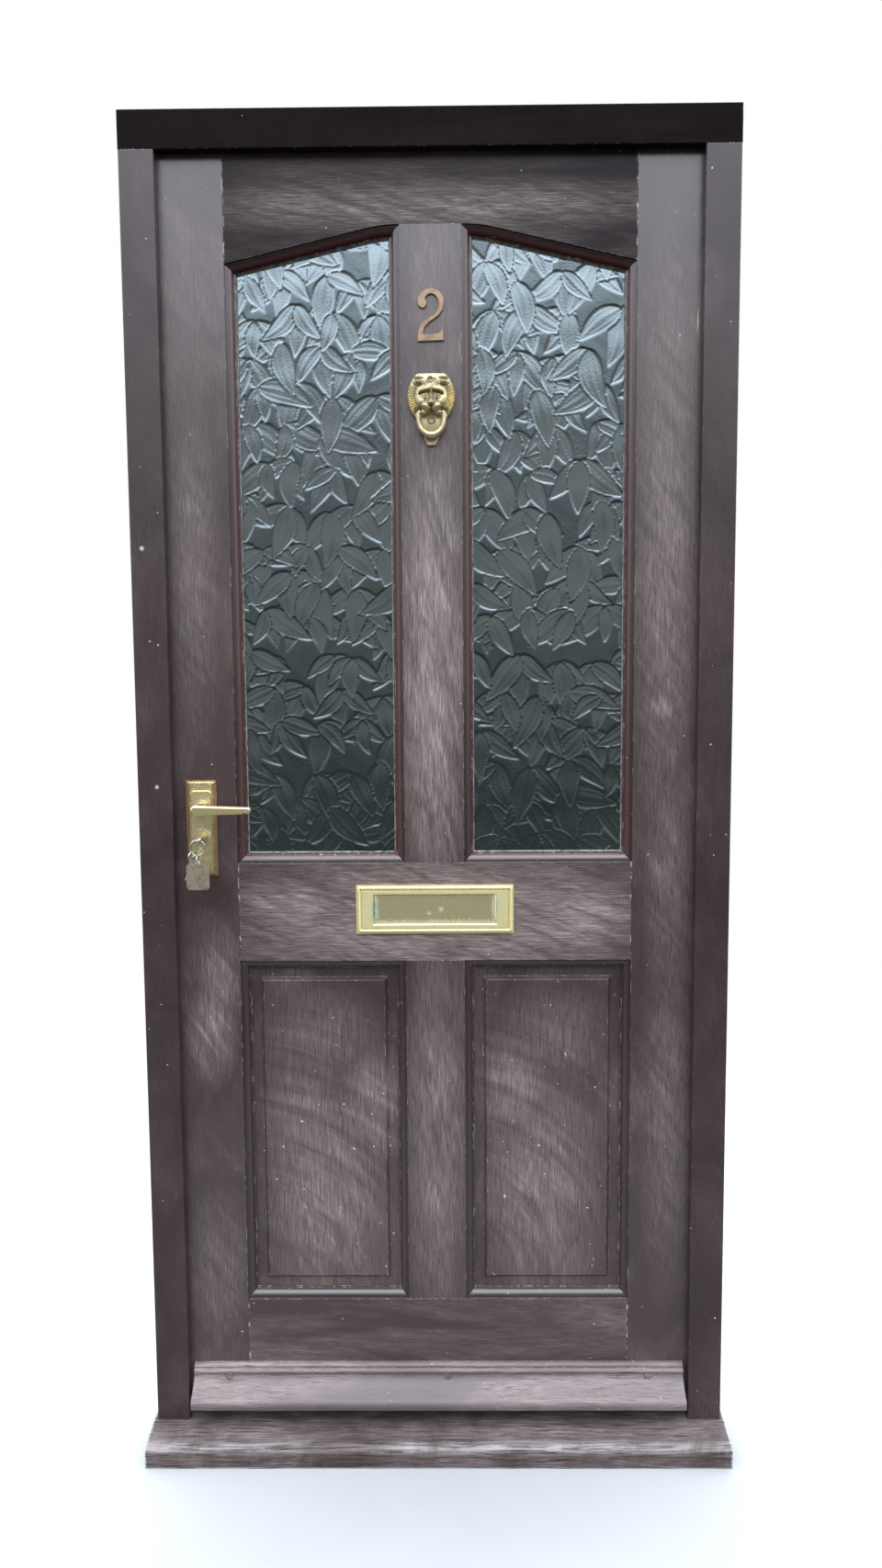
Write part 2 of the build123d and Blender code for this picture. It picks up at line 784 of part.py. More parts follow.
def hinge_stile():
    bar = mirrored(lock_stile_bar())
    for z in HINGE_HEIGHTS:
        bar -= hinge_flap(z, 0)
    return drill(bar, leaf_hinge_screws())


def crank_outline():
    """Front view of the top rail, both halves."""
    start, bend, via, end = crank_edges(0)

    def flip(point):
        return (-point[0], point[1])

    outline = Polyline(bend, start, (start[0], LEAF_TOP), (-start[0], LEAF_TOP), flip(start), flip(bend))
    outline += ThreePointArc(flip(bend), flip(via), flip(end))
    outline += Line(flip(end), end)
    outline += ThreePointArc(end, via, bend)
    return make_face(outline)


def top_rail():
    rail = slab(crank_outline(), 0, LEAF_THICK)
    rail -= muntin_tenon(3, JOINT_CLEARANCE)
    rail += rail_tenons(*RAIL_TENONS[2], 0)
    rail += UPPER[1]
    rail += mirrored(UPPER[1])
    return rail


def upper_muntin():
    bar = block(-OPENING_IN, OPENING_IN, 0, LEAF_THICK, LOCK_RAIL_TOP, TOP_RAIL_CENTRE)
    bar += muntin_tenon(2, 0)
    bar += muntin_tenon(3, 0)
    bar += UPPER[2]
    bar += mirrored(UPPER[2])
    bar = drill(bar, knocker_screw_places())
    return bar - numeral_pins()


def lock_rail():
    rail = block(-OPENING_OUT, OPENING_OUT, 0, LEAF_THICK, LOCK_RAIL_LOW, LOCK_RAIL_TOP)
    groove = panel_grooves()
    rail -= groove
    rail -= mirrored(groove)
    rail -= muntin_tenon(1, JOINT_CLEARANCE)
    rail -= muntin_tenon(2, JOINT_CLEARANCE)
    rail += rail_tenons(*RAIL_TENONS[1], 0)
    for piece in (UPPER[3], LOWER[1]):
        rail += piece
        rail += mirrored(piece)
    rail -= letter_slot(-1, LEAF_THICK + 1)
    for bolt in letter_bolts():
        rail -= bolt
    return rail


def lower_muntin():
    bar = block(-OPENING_IN, OPENING_IN, 0, LEAF_THICK, BOTTOM_RAIL_TOP, LOCK_RAIL_LOW)
    groove = panel_grooves()
    bar -= groove
    bar -= mirrored(groove)
    bar += muntin_tenon(0, 0)
    bar += muntin_tenon(1, 0)
    bar += LOWER[2]
    bar += mirrored(LOWER[2])
    return bar


def bottom_rail():
    rail = block(-OPENING_OUT, OPENING_OUT, 0, LEAF_THICK, LEAF_BOTTOM, BOTTOM_RAIL_TOP)
    groove = panel_grooves()
    rail -= groove
    rail -= mirrored(groove)
    rail -= muntin_tenon(0, JOINT_CLEARANCE)
    rail += rail_tenons(*RAIL_TENONS[0], 0)
    rail += LOWER[3]
    rail += mirrored(LOWER[3])
    rail -= bottom_check()
    for screw_body in board_screws():
        rail -= screw_body
    return rail


def panel():
    """The left panel: a tongue all round and a raised field on both faces."""
    tongue = PANEL_TONGUE
    x0, x1 = -OPENING_OUT - tongue, -OPENING_IN + tongue
    z0, z1 = BOTTOM_RAIL_TOP - tongue, LOCK_RAIL_LOW + tongue
    body = block(x0, x1, PANEL_FRONT, PANEL_BACK, z0, z1)
    inset = MOULD_WIDTH + PANEL_MARGIN - PANEL_BEVEL
    wide = OPENING_OUT - OPENING_IN - 2 * inset
    tall = LOCK_RAIL_LOW - BOTTOM_RAIL_TOP - 2 * inset
    middle = (-(OPENING_OUT + OPENING_IN) / 2, (LOCK_RAIL_LOW + BOTTOM_RAIL_TOP) / 2)
    foot = Plane.XZ.offset(-PANEL_FRONT) * Pos(*middle) * Rectangle(wide, tall)
    lean = degrees(atan(PANEL_BEVEL / PANEL_RAISE))
    field = extrude(foot, amount=PANEL_RAISE, taper=lean)
    return body + field + mirror(field, about=MIDDLE_PLANE)


def pane():
    return slab(upper_opening(GLASS_EDGE), GLASS_FRONT, GLASS_FRONT + GLASS_THICK)


def beads():
    return upper_strips(glazing_bead_section())


def sealant():
    side, top, muntin, low = upper_strips(sealant_section())
    return side + top + muntin + low


# Weatherboard


def weatherboard():
    """A throated board: a double bead, then one ogee down to the nose."""
    bead_top, bead_low = (-9, 82.5), (-12, 74)
    nose_low = (-42, 30)
    outline = Line((0, 89), (-3, 89))
    outline += ThreePointArc((-3, 89), (-8.5, 87), bead_top)
    outline += ThreePointArc(bead_top, (-14, 78.5), bead_low)
    ogee = (bead_low, (-18, 62), (-32, 51), (-42.5, 43), nose_low)
    outline += Spline(*ogee, tangents=((-0.1, -1), (0.35, -1)))
    outline += Polyline(nose_low, (-37, 29), (-37, 34), (-32, 34), (-32, 28.5), (0, 27), (0, 89))
    body = run_x(Pos(0, BOARD_Z) * make_face(outline), -BOARD_HALF, BOARD_HALF)
    for piece in pellets() + board_screws():
        body -= piece
    return body


def pellets():
    return [rod_y(x, PELLET_Z, PELLET_RADIUS, PELLET_FRONT, PELLET_BACK) for x in PELLET_X]


def board_screws():
    solids = []
    for x in PELLET_X:
        solids.append(bore(x, PELLET_BACK, PELLET_Z, (0, 1, 0), *BOARD_SCREW))
    return solids


# Lock


def lock_body_room():
    """The mortice for the lock case."""
    c = JOINT_CLEARANCE
    return block(
        -LEAF_HALF - 1,
        -LEAF_HALF + FOREND_THICK + CASE_DEEP + c,
        MID_Y - CASE_THICK / 2 - c,
        MID_Y + CASE_THICK / 2 + c,
        CASE_LOW - c,
        CASE_TOP + c,
    )


def forend_blank():
    return block(
        -LEAF_HALF,
        -LEAF_HALF + FOREND_THICK,
        MID_Y - FOREND_WIDE / 2,
        MID_Y + FOREND_WIDE / 2,
        FOREND_LOW,
        FOREND_TOP,
    )


def slide_room(z, tall, long, grow):
    """The space of a bolt, drawn back, with a margin round it and room for its travel."""
    return block(
        -LEAF_HALF - 1,
        -LEAF_HALF + long + grow,
        MID_Y - LATCH_WIDE / 2 - grow,
        MID_Y + LATCH_WIDE / 2 + grow,
        z - tall / 2 - grow,
        z + tall / 2 + grow,
    )


def bolt_rooms(shape):
    shape -= slide_room(LEVER_Z, LATCH_TALL, LATCH_LONG, SLIDE_CLEARANCE)
    return shape - slide_room(CYLINDER_Z, BOLT_TALL, BOLT_LONG, SLIDE_CLEARANCE)


def forend():
    return drill(bolt_rooms(forend_blank()), forend_screw_places())


def forend_screw_places():
    places = []
    for z in (FOREND_LOW + LOCK_SCREW_EDGE, FOREND_TOP - LOCK_SCREW_EDGE):
        places.append((-LEAF_HALF, MID_Y, z, (1, 0, 0), *LOCK_SCREW))
    return places


def lock_case():
    body = block(
        -LEAF_HALF + FOREND_THICK,
        -LEAF_HALF + FOREND_THICK + CASE_DEEP,
        MID_Y - CASE_THICK / 2,
        MID_Y + CASE_THICK / 2,
        CASE_LOW,
        CASE_TOP,
    )
    room = FOLLOWER_RADIUS + TURN_CLEARANCE
    body -= rod_y(HANDLE_X, LEVER_Z, room, MID_Y - CASE_THICK, MID_Y + CASE_THICK)
    body -= euro_prism(MID_Y - CASE_THICK, MID_Y + CASE_THICK, 0.3)
    return bolt_rooms(body)


def latch_bolt():
    tip = -LEAF_HALF
    y0, y1 = MID_Y - LATCH_WIDE / 2, MID_Y + LATCH_WIDE / 2
    plan = polygon(
        (tip, y1),
        (tip, y1 - 2),
        (tip + LATCH_BEVEL, y0),
        (tip + LATCH_LONG, y0),
        (tip + LATCH_LONG, y1),
    )
    return run_z(plan, LEVER_Z - LATCH_TALL / 2, LEVER_Z + LATCH_TALL / 2)


def dead_bolt():
    body = block(
        -LEAF_HALF,
        -LEAF_HALF + BOLT_LONG,
        MID_Y - LATCH_WIDE / 2,
        MID_Y + LATCH_WIDE / 2,
        CYLINDER_Z - BOLT_TALL / 2,
        CYLINDER_Z + BOLT_TALL / 2,
    )
    return chamfer(body.faces().sort_by(Axis.X)[0].edges(), 1)


def spindle_prism(y0, y1, side):
    half = side / 2
    return block(HANDLE_X - half, HANDLE_X + half, y0, y1, LEVER_Z - half, LEVER_Z + half)


def follower():
    half = FOLLOWER_THICK / 2
    hub = rod_y(HANDLE_X, LEVER_Z, FOLLOWER_RADIUS, MID_Y - half, MID_Y + half)
    return hub - spindle_prism(0, LEAF_THICK, SPINDLE_SIDE + JOINT_CLEARANCE)


def spindle():
    return spindle_prism(-SPINDLE_OUT, LEAF_THICK + SPINDLE_OUT, SPINDLE_SIDE)


def euro_prism(y0, y1, grow):
    """The euro profile: a round barrel with a lobe below it."""
    body = rod_y(HANDLE_X, CYLINDER_Z, EURO_RADIUS + grow, y0, y1)
    lobe = EURO_LOBE + grow
    low = CYLINDER_Z - EURO_DROP - grow
    body += rod_y(HANDLE_X, low + lobe, lobe, y0, y1)
    return body + block(HANDLE_X - lobe, HANDLE_X + lobe, y0, y1, low + lobe, CYLINDER_Z)


def cylinder_body():
    body = euro_prism(CYLINDER_FRONT, CYLINDER_BACK, 0)
    room = PLUG_RADIUS + TURN_CLEARANCE
    return body - rod_y(HANDLE_X, CYLINDER_Z, room, CYLINDER_FRONT - 1, MID_Y)


def key_frame():
    """Across the key's bow, then along the cylinder, at the cylinder's axis."""
    return Pos(HANDLE_X, 0, CYLINDER_Z) * Rot(0, -KEY_TILT, 0)


def key_prism(y0, y1, wide, thick):
    return key_frame() * Pos(0, (y0 + y1) / 2, 0) * Box(wide, y1 - y0, thick)


def plug():
    body = rod_y(HANDLE_X, CYLINDER_Z, PLUG_RADIUS, CYLINDER_FRONT - 0.5, MID_Y - 0.5)
    way = key_prism(CYLINDER_FRONT - 1, 16, KEY_BLADE + 0.3, KEY_THICK + 0.3)
    return body - way


def door_key():
    blade = key_prism(BOW_Y + 4, 14, KEY_BLADE, KEY_THICK)
    bow = key_frame() * Pos(0, BOW_Y, 0) * Cylinder(BOW_RADIUS, KEY_THICK)
    collar = key_prism(BOW_Y + 5, CYLINDER_FRONT - 4, KEY_BLADE + 3, KEY_THICK)
    hole = key_frame() * Pos(0, BOW_Y, 0) * Cylinder(BOW_HOLE, KEY_THICK + 1)
    body = bow + collar + blade - hole
    for k in range(4):
        y = -8 + 5 * k
        body -= key_frame() * Pos(KEY_BLADE / 2, y, 0) * Rot(0, 0, 45) * Box(2, 2, KEY_THICK + 1)
    return body


RING_X = HANDLE_X + RING_SIDE
RING_Z = CYLINDER_Z - RING_DROP


def key_ring():
    return Pos(RING_X, BOW_Y, RING_Z) * Rot(90, 0, 0) * Torus(RING_RADIUS, RING_WIRE)


LINK_Z = RING_Z - RING_RADIUS + RING_WIRE + LINK_WIRE + 0.2 - LINK_RADIUS


def tag_link():
    return Pos(RING_X, BOW_Y, LINK_Z) * Rot(0, 90, 0) * Torus(LINK_RADIUS, LINK_WIRE)


def key_tag():
    hole_z = LINK_Z - LINK_RADIUS - LINK_WIRE + TAG_HOLE - 0.6
    cut = TAG_CUT
    top = hole_z + cut
    half = TAG_WIDE / 2
    low = top - TAG_TALL
    outline = polygon(
        (RING_X - half, top - cut),
        (RING_X - half + cut, top),
        (RING_X + half - cut, top),
        (RING_X + half, top - cut),
        (RING_X + half, low + cut),
        (RING_X + half - cut, low),
        (RING_X - half + cut, low),
        (RING_X - half, low + cut),
    )
    body = slab(outline, BOW_Y - TAG_THICK / 2, BOW_Y + TAG_THICK / 2)
    return body - rod_y(RING_X, hole_z, TAG_HOLE, BOW_Y - 5, BOW_Y + 5)


def spare_key():
    """Hangs from the ring's left side, leaning outwards behind the tag."""
    angle = radians(SPARE_ANGLE)
    x = RING_X + RING_RADIUS * cos(angle)
    z = RING_Z + RING_RADIUS * sin(angle)
    place = Pos(x, BOW_Y + 1.2, z) * Rot(0, 20, 0) * Rot(0, 0, 55)
    bow = Pos(0, 0, -4.6) * Rot(90, 0, 0) * Cylinder(BOW_RADIUS, SPARE_THICK)
    stem = Pos(4.5, 0, -28) * Box(6, SPARE_THICK, 32)
    hole = Rot(90, 0, 0) * Cylinder(4.0, 2 * SPARE_THICK)
    return place * (bow + stem - hole)


# Backplates and levers


def backplate_blank():
    """An outside backplate standing on the plane y = 0 and facing the viewer."""
    foot = Plane.XZ * Pos(HANDLE_X, PLATE_Z) * Rectangle(PLATE_WIDE, PLATE_TALL)
    base = extrude(foot, amount=PLATE_EDGE)
    step = Plane.XZ.offset(PLATE_EDGE) * Pos(HANDLE_X, PLATE_Z)
    step = step * Rectangle(PLATE_WIDE - 2 * PLATE_EDGE, PLATE_TALL - 2 * PLATE_EDGE)
    rise = extrude(step, amount=PLATE_EDGE, taper=45)
    inner = Plane.XZ.offset(2 * PLATE_EDGE) * Pos(HANDLE_X, PLATE_Z)
    wide, tall = PLATE_WIDE - 2 * PLATE_FIELD_SIDE, PLATE_TALL - 2 * PLATE_FIELD_END
    inner = inner * RectangleRounded(wide, tall, PLATE_THICK)
    field = extrude(inner, amount=PLATE_THICK - 2 * PLATE_EDGE, taper=30)
    emboss = -PLATE_THICK - PLATE_EMBOSS
    ring = rod_y(HANDLE_X, CYLINDER_Z, PLATE_RING, emboss, -1)
    boss = rod_y(HANDLE_X, LEVER_Z, PLATE_BOSS, emboss, -1)
    return base + rise + field + ring + boss


def backplate_screw_places():
    places = []
    for dx in (-PLATE_SCREW_X, PLATE_SCREW_X):
        for dz in (-PLATE_SCREW_Z, PLATE_SCREW_Z):
            x, z = HANDLE_X + dx, PLATE_Z + dz
            places.append((x, -2 * PLATE_EDGE, z, (0, 1, 0), *PLATE_SCREW))
            places.append((x, LEAF_THICK + 2 * PLATE_EDGE, z, (0, -1, 0), *PLATE_SCREW))
    return places


def backplate():
    body = backplate_blank()
    body -= rod_y(HANDLE_X, LEVER_Z, LEVER_NECK + 0.3, -20, 1)
    body -= euro_prism(-20, 1, 0.3)
    return drill(body, [p for p in backplate_screw_places() if p[1] < 0])


def inside_backplate():
    return mirror(backplate(), about=MIDDLE_PLANE)


def lever_outline():
    """Front view of the grip from the pivot: a rounded hub that narrows to a blunt tip."""
    hub, tip = LEVER_HUB, LEVER_TIP
    reach = LEVER_REACH
    notch = (reach - 14, -tip - 0.6)
    notch_end = (reach - 9, -tip - 0.3)
    outline = ThreePointArc((2, hub), (-hub, 0), (2, -hub))
    outline += Line((2, -hub), notch)
    outline += ThreePointArc(notch, (reach - 11.5, -tip + 1.4), notch_end)
    outline += Line(notch_end, (reach - 3, -tip + 0.6))
    outline += ThreePointArc((reach - 3, -tip + 0.6), (reach, 0), (reach - 3, tip - 0.6))
    outline += Line((reach - 3, tip - 0.6), (2, hub))
    return make_face(outline)


def nib_outline():
    """The curled thumb piece over the hub."""
    outline = ThreePointArc((-4, 5), (3, 9.6), (14, 10.8))
    outline += ThreePointArc((14, 10.8), (20, 11.4), (25, 12.6))
    outline += ThreePointArc((25, 12.6), (20, 7.6), (12, 5))
    outline += Line((12, 5), (-4, 5))
    return make_face(outline)


def lever():
    """The outside lever, pointing from the lock edge to the hinges."""
    back = -PLATE_THICK - 2.0
    front = -LEVER_STANDOFF - LEVER_THICK
    place = Pos(HANDLE_X, LEVER_Z)
    grip = slab(place * lever_outline(), front, -LEVER_STANDOFF)
    grip = fillet(grip.faces().sort_by(Axis.Y)[0].edges(), LEVER_ROUND)
    nib = slab(place * nib_outline(), front + 2.5, -LEVER_STANDOFF - 2.5)
    neck = rod_y(HANDLE_X, LEVER_Z, LEVER_NECK, -LEVER_STANDOFF - 2, back + 4)
    flare = rod_y(HANDLE_X, LEVER_Z, 10, back - 3, back)
    hole = spindle_prism(-SPINDLE_OUT - 2, 5, SPINDLE_SIDE + JOINT_CLEARANCE)
    return grip + nib + neck + flare - hole


def inside_lever():
    return mirror(lever(), about=MIDDLE_PLANE)


# Letter plate


FLAP_PIN_Z = LETTER_Z + FLAP_TALL / 2 + FLAP_KNUCKLE + 0.2
FLAP_BACK = FLAP_PIN_Y + FLAP_THICK / 2


def letter_slot(y0, y1):
    """The way through the rail, with room over it for the flap's knuckle."""
    half = FLAP_WIDE / 2 + 2 * FLAP_PLAY
    low = LETTER_Z - FLAP_TALL / 2 - FLAP_PLAY
    top = FLAP_PIN_Z + FLAP_KNUCKLE + FLAP_PLAY
    return block(-half, half, y0, y1, low, top)


def letter_plate():
    foot = Plane.XZ * Pos(0, LETTER_Z) * Rectangle(LETTER_WIDE, LETTER_TALL)
    body = extrude(foot, amount=LETTER_FOOT)
    step = Plane.XZ.offset(LETTER_FOOT) * Pos(0, LETTER_Z)
    step = step * Rectangle(LETTER_WIDE - 2 * ROPE_BED, LETTER_TALL - 2 * ROPE_BED)
    body += extrude(step, amount=LETTER_STEP, taper=30)
    body += rope()
    body -= flap_opening()
    half = FLAP_WIDE / 2
    front = FLAP_PIN_Y - FLAP_KNUCKLE - 0.3
    low, top = LETTER_Z, FLAP_PIN_Z + FLAP_KNUCKLE + 0.4
    body -= block(-half, half, front, 1, low, top)
    body -= rod_x(FLAP_PIN_Y, FLAP_PIN_Z, FLAP_PIN_RADIUS, -half - FLAP_PIN_LAP, half + FLAP_PIN_LAP)
    for bolt in letter_bolts():
        body -= bolt
    return body


def flap_opening():
    """The plate's opening, with its edges sloping in towards the flap."""
    inner = Plane.XZ.offset(-1) * Pos(0, LETTER_Z) * Rectangle(FLAP_WIDE, FLAP_TALL)
    depth = LETTER_THICK + 1 - FLAP_SLOPE
    mouth = Plane.XZ.offset(LETTER_THICK - FLAP_SLOPE) * Pos(0, LETTER_Z)
    mouth = mouth * Rectangle(FLAP_WIDE, FLAP_TALL)
    return extrude(inner, amount=depth) + extrude(mouth, amount=2 * FLAP_SLOPE, taper=-45)


def rope():
    """The raised cord round the plate's edge."""
    half = LETTER_WIDE / 2 - ROPE_INSET
    low = LETTER_Z - LETTER_TALL / 2 + ROPE_INSET
    top = LETTER_Z + LETTER_TALL / 2 - ROPE_INSET
    y = -LETTER_FOOT
    body = rod_x(y, low, ROPE_RADIUS, -half, half) + rod_x(y, top, ROPE_RADIUS, -half, half)
    for x in (-half, half):
        body += rod_z(x, y, ROPE_RADIUS, low, top)
        body += Pos(x, y, low) * Sphere(ROPE_RADIUS)
        body += Pos(x, y, top) * Sphere(ROPE_RADIUS)
    return body


def letter_bolts():
    bolts = []
    back = LEAF_THICK
    for x in (-LETTER_WIDE / 2 + LETTER_SIDE / 2, LETTER_WIDE / 2 - LETTER_SIDE / 2):
        bolt = rod_y(x, LETTER_Z, LETTER_BOLT_RADIUS, -LETTER_BOLT_RADIUS, back)
        bolt += rod_y(x, LETTER_Z, LETTER_BOLT_HEAD, back, back + LETTER_BOLT_RADIUS)
        bolts.append(bolt)
    return bolts


def flap_pin():
    half = FLAP_WIDE / 2 + FLAP_PIN_LAP
    return rod_x(FLAP_PIN_Y, FLAP_PIN_Z, FLAP_PIN_RADIUS, -half, half)


def letter_flap():
    half = FLAP_WIDE / 2 - FLAP_PLAY
    low = LETTER_Z - FLAP_TALL / 2 + FLAP_PLAY
    body = block(-half, half, FLAP_BACK - FLAP_THICK, FLAP_BACK, low, FLAP_PIN_Z)
    top = FLAP_PIN_Z - FLAP_KNUCKLE
    spring = half - FLAP_SPRING_LONG
    body -= block(spring, half + 1, -FLAP_KNUCKLE * 4, FLAP_KNUCKLE * 4, top, FLAP_PIN_Z + 1)
    body += rod_x(FLAP_PIN_Y, FLAP_PIN_Z, FLAP_KNUCKLE, -half, spring)
    room = FLAP_PIN_RADIUS + TURN_CLEARANCE
    return body - rod_x(FLAP_PIN_Y, FLAP_PIN_Z, room, -half - 1, half + 1)


def flap_spring():
    """A small coil round the pin, at the flap's right end."""
    start = FLAP_WIDE / 2 - FLAP_PLAY - FLAP_SPRING_LONG + 1.5
    radius = FLAP_PIN_RADIUS + 2 * FLAP_SPRING_WIRE
    helix = Helix(pitch=1.8, height=FLAP_SPRING_LONG - 4, radius=radius)
    section = Plane(origin=helix @ 0, z_dir=helix % 0) * Circle(FLAP_SPRING_WIRE)
    coil = sweep(section, path=helix, is_frenet=True)
    return Pos(start, FLAP_PIN_Y, FLAP_PIN_Z) * Rot(0, 90, 0) * coil


# Knocker


def knocker_outline():
    """Front view of the casting: a broad mane, waisted under the ears, that narrows to a tail."""
    z = KNOCKER_TOP
    right = ((0, z), (21, z - 0.8), (28.5, z - 8), (36, z - 26), (36.2, z - 42), (26, z - 64))
    tail = ((20, z - 74), (12.6, z - 92), (10, z - 101), (6.5, KNOCKER_LOW))
    left = [(-x, height) for x, height in reversed(right[1:])]
    dome = Spline(*(left + list(right)))
    side = Polyline(right[-1], *tail)
    other = Polyline(left[0], *[(-x, height) for x, height in tail])
    foot = Line(tail[-1], (-tail[-1][0], KNOCKER_LOW))
    return make_face(dome + side + other + foot)


def lion_face():
    """The head as a dome with a long nose, and on each side a muzzle lobe, an eye, a brow and an ear."""
    face = Pos(0, 9, FACE_Z) * Sphere(28)
    face += Pos(0, -17, FACE_Z) * Rot(-10, 0, 0) * Cylinder(4.5, 26)
    face += Pos(0, -20, FACE_Z - 12) * Sphere(5)
    for side in (-1, 1):
        face += Pos(side * 7.5, -13, FACE_Z - 17) * Sphere(9)
        face += Pos(side * 9, -15.5, FACE_Z + 1) * Sphere(4.2)
        face += Pos(side * 12, -14.5, FACE_Z + 9) * Rot(0, 90 + side * 8, 0) * Cylinder(3.2, 11)
        face += Pos(side * 20, -7, FACE_Z + 25) * Sphere(8)
    for side in (-1, 1):
        face -= Pos(side * 20, -15, FACE_Z + 26) * Sphere(5)
        face -= Pos(side * 20, -2, FACE_Z - 30) * Cylinder(8, 22)
    return face & block(-60, 60, -60, -1, KNOCKER_LOW, KNOCKER_TOP)


def mane_grooves():
    """Radial cuts round both sides of the mane."""
    cuts = []
    for side, lean in ((0, -10), (180, 10)):
        for k in range(9):
            turn = side + lean + 12 * (k - 4)
            cut = Pos(34, 0, 0) * Box(16, 3, 1.4)
            cuts.append(Pos(0, -MANE_THICK, FACE_Z) * Rot(0, -turn, 0) * cut)
    return cuts


def pivot_lug(x):
    return rod_x(PIVOT_Y, KNOCKER_Z, LUG_RADIUS, x - LUG_HALF, x + LUG_HALF)


def knocker_head():
    outline = knocker_outline()
    body = slab(outline, -KNOCKER_PLATE, 0)
    mane = slab(outline, -MANE_THICK, 0)
    body += mane & block(-60, 60, -20, 1, KNOCKER_Z - 4, KNOCKER_TOP)
    body += lion_face()
    for cut in mane_grooves():
        body -= cut
    for x in (-LUG_X, LUG_X):
        body += pivot_lug(x)
        low, top = KNOCKER_Z - LUG_RADIUS, KNOCKER_Z + LUG_RADIUS
        body += block(x - LUG_HALF, x + LUG_HALF, PIVOT_Y, -1, low, top)
    body -= ring_sweep_room()
    room = PIVOT_PIN + TURN_CLEARANCE
    pin_room = rod_x(PIVOT_Y, KNOCKER_Z, room, PIN_END - 0.3, RING_WIDEST + 5)
    body -= pin_room
    body -= mirrored(pin_room)
    return drill(body, knocker_screw_places())


def ring_sweep_room():
    """Room beside each lug for the ring's arms as they swing out."""
    x0, x1 = LUG_X + LUG_HALF, RING_WIDEST + RING_THIN + RING_SWELL
    room = rod_x(PIVOT_Y, KNOCKER_Z, 7.5, x0, x1)
    room += block(x0, x1, -40, -KNOCKER_PLATE, KNOCKER_Z - 14, KNOCKER_Z)
    return room + mirrored(room)


def knocker_screw_places():
    upper = (-1, -MANE_THICK, KNOCKER_TOP - 11, (0, 1, 0), *KNOCKER_SCREW)
    lower = (0, -KNOCKER_PLATE, KNOCKER_TOP - 69.5, (0, 1, 0), *KNOCKER_SCREW)
    return [upper, lower]


def knocker_ring():
    """A crescent that hangs from two pins and thickens to its foot, where it has a collar."""
    start = acos(RING_HALF / RING_WIDEST)
    drop = RING_SAG / (1 + sin(start))
    centre = KNOCKER_Z - RING_SAG + drop
    sections = []
    steps = 8
    for k in range(steps + 1):
        share = k / steps
        angle = start - share * (radians(180) + 2 * start)
        x, z = RING_WIDEST * cos(angle), centre + drop * sin(angle)
        thick = RING_THIN + RING_SWELL * sin(radians(180) * share) ** 2
        along = (RING_WIDEST * sin(angle), 0, -drop * cos(angle))
        sections.append(Plane(origin=(x, PIVOT_Y, z), z_dir=along) * Circle(thick))
    body = loft(sections)
    for x in (-RING_HALF, RING_HALF):
        body += Pos(x, PIVOT_Y, KNOCKER_Z) * Sphere(RING_THIN + 0.3)
        inner = -PIN_END if x < 0 else PIN_END
        body += rod_x(PIVOT_Y, KNOCKER_Z, PIVOT_PIN, min(x, inner), max(x, inner))
    foot = KNOCKER_Z - RING_SAG
    collar = RING_THIN + RING_SWELL + 0.7
    body += rod_x(PIVOT_Y, foot, collar, -4.5, 4.5)
    return body


# Numeral


def numeral_outline():
    """A plain figure 2 with a ball on its curl, drawn from its lower left corner."""
    crown = ((0.3, 59), (5, 71), (20, 77.8), (35, 71.5), (40.3, 56))
    outer = Spline(*crown, (36.5, 43.5), (22, 31), (12, 22), (9.2, 11))
    foot = Spline((9.2, 11), (20, 10.7), (29, 12), (35, 15.5), (39, 21.5))
    toe = Polyline((39, 21.5), (39.8, 1.6), (0.2, 0))
    neck = ((0.2, 0), (1.5, 17), (6.5, 26.5), (17.5, 35), (29.5, 44.5))
    rise = Spline(*neck, (32, 56), (28, 66), (20, 69.8), (13.5, 66), (11.8, 61.8))
    curl = ThreePointArc((11.8, 61.8), (14.3, 56), (8.5, 49))
    tip = ThreePointArc((8.5, 49), (2.2, 52), (0.3, 59))
    return make_face(outer + foot + toe + rise + curl + tip)


def numeral():
    place = Pos(-NUMERAL_WIDE / 2, NUMERAL_Z - NUMERAL_TALL / 2)
    body = slab(place * numeral_outline(), -NUMERAL_THICK, 0)
    body = chamfer(body.faces().sort_by(Axis.Y)[0].edges(), NUMERAL_BEVEL)
    return body - numeral_pins()


def numeral_pins():
    """The two screws that hold the figure."""
    low = NUMERAL_Z - NUMERAL_TALL / 2
    points = ((-12.2, low + 56), (13.2, low + 6.2))
    screws = [bore(x, -NUMERAL_THICK, z, (0, 1, 0), *NUMERAL_SCREW) for x, z in points]
    return screws[0] + screws[1]


def slotted_screws(places):
    return group(screw(*place) for place in places)


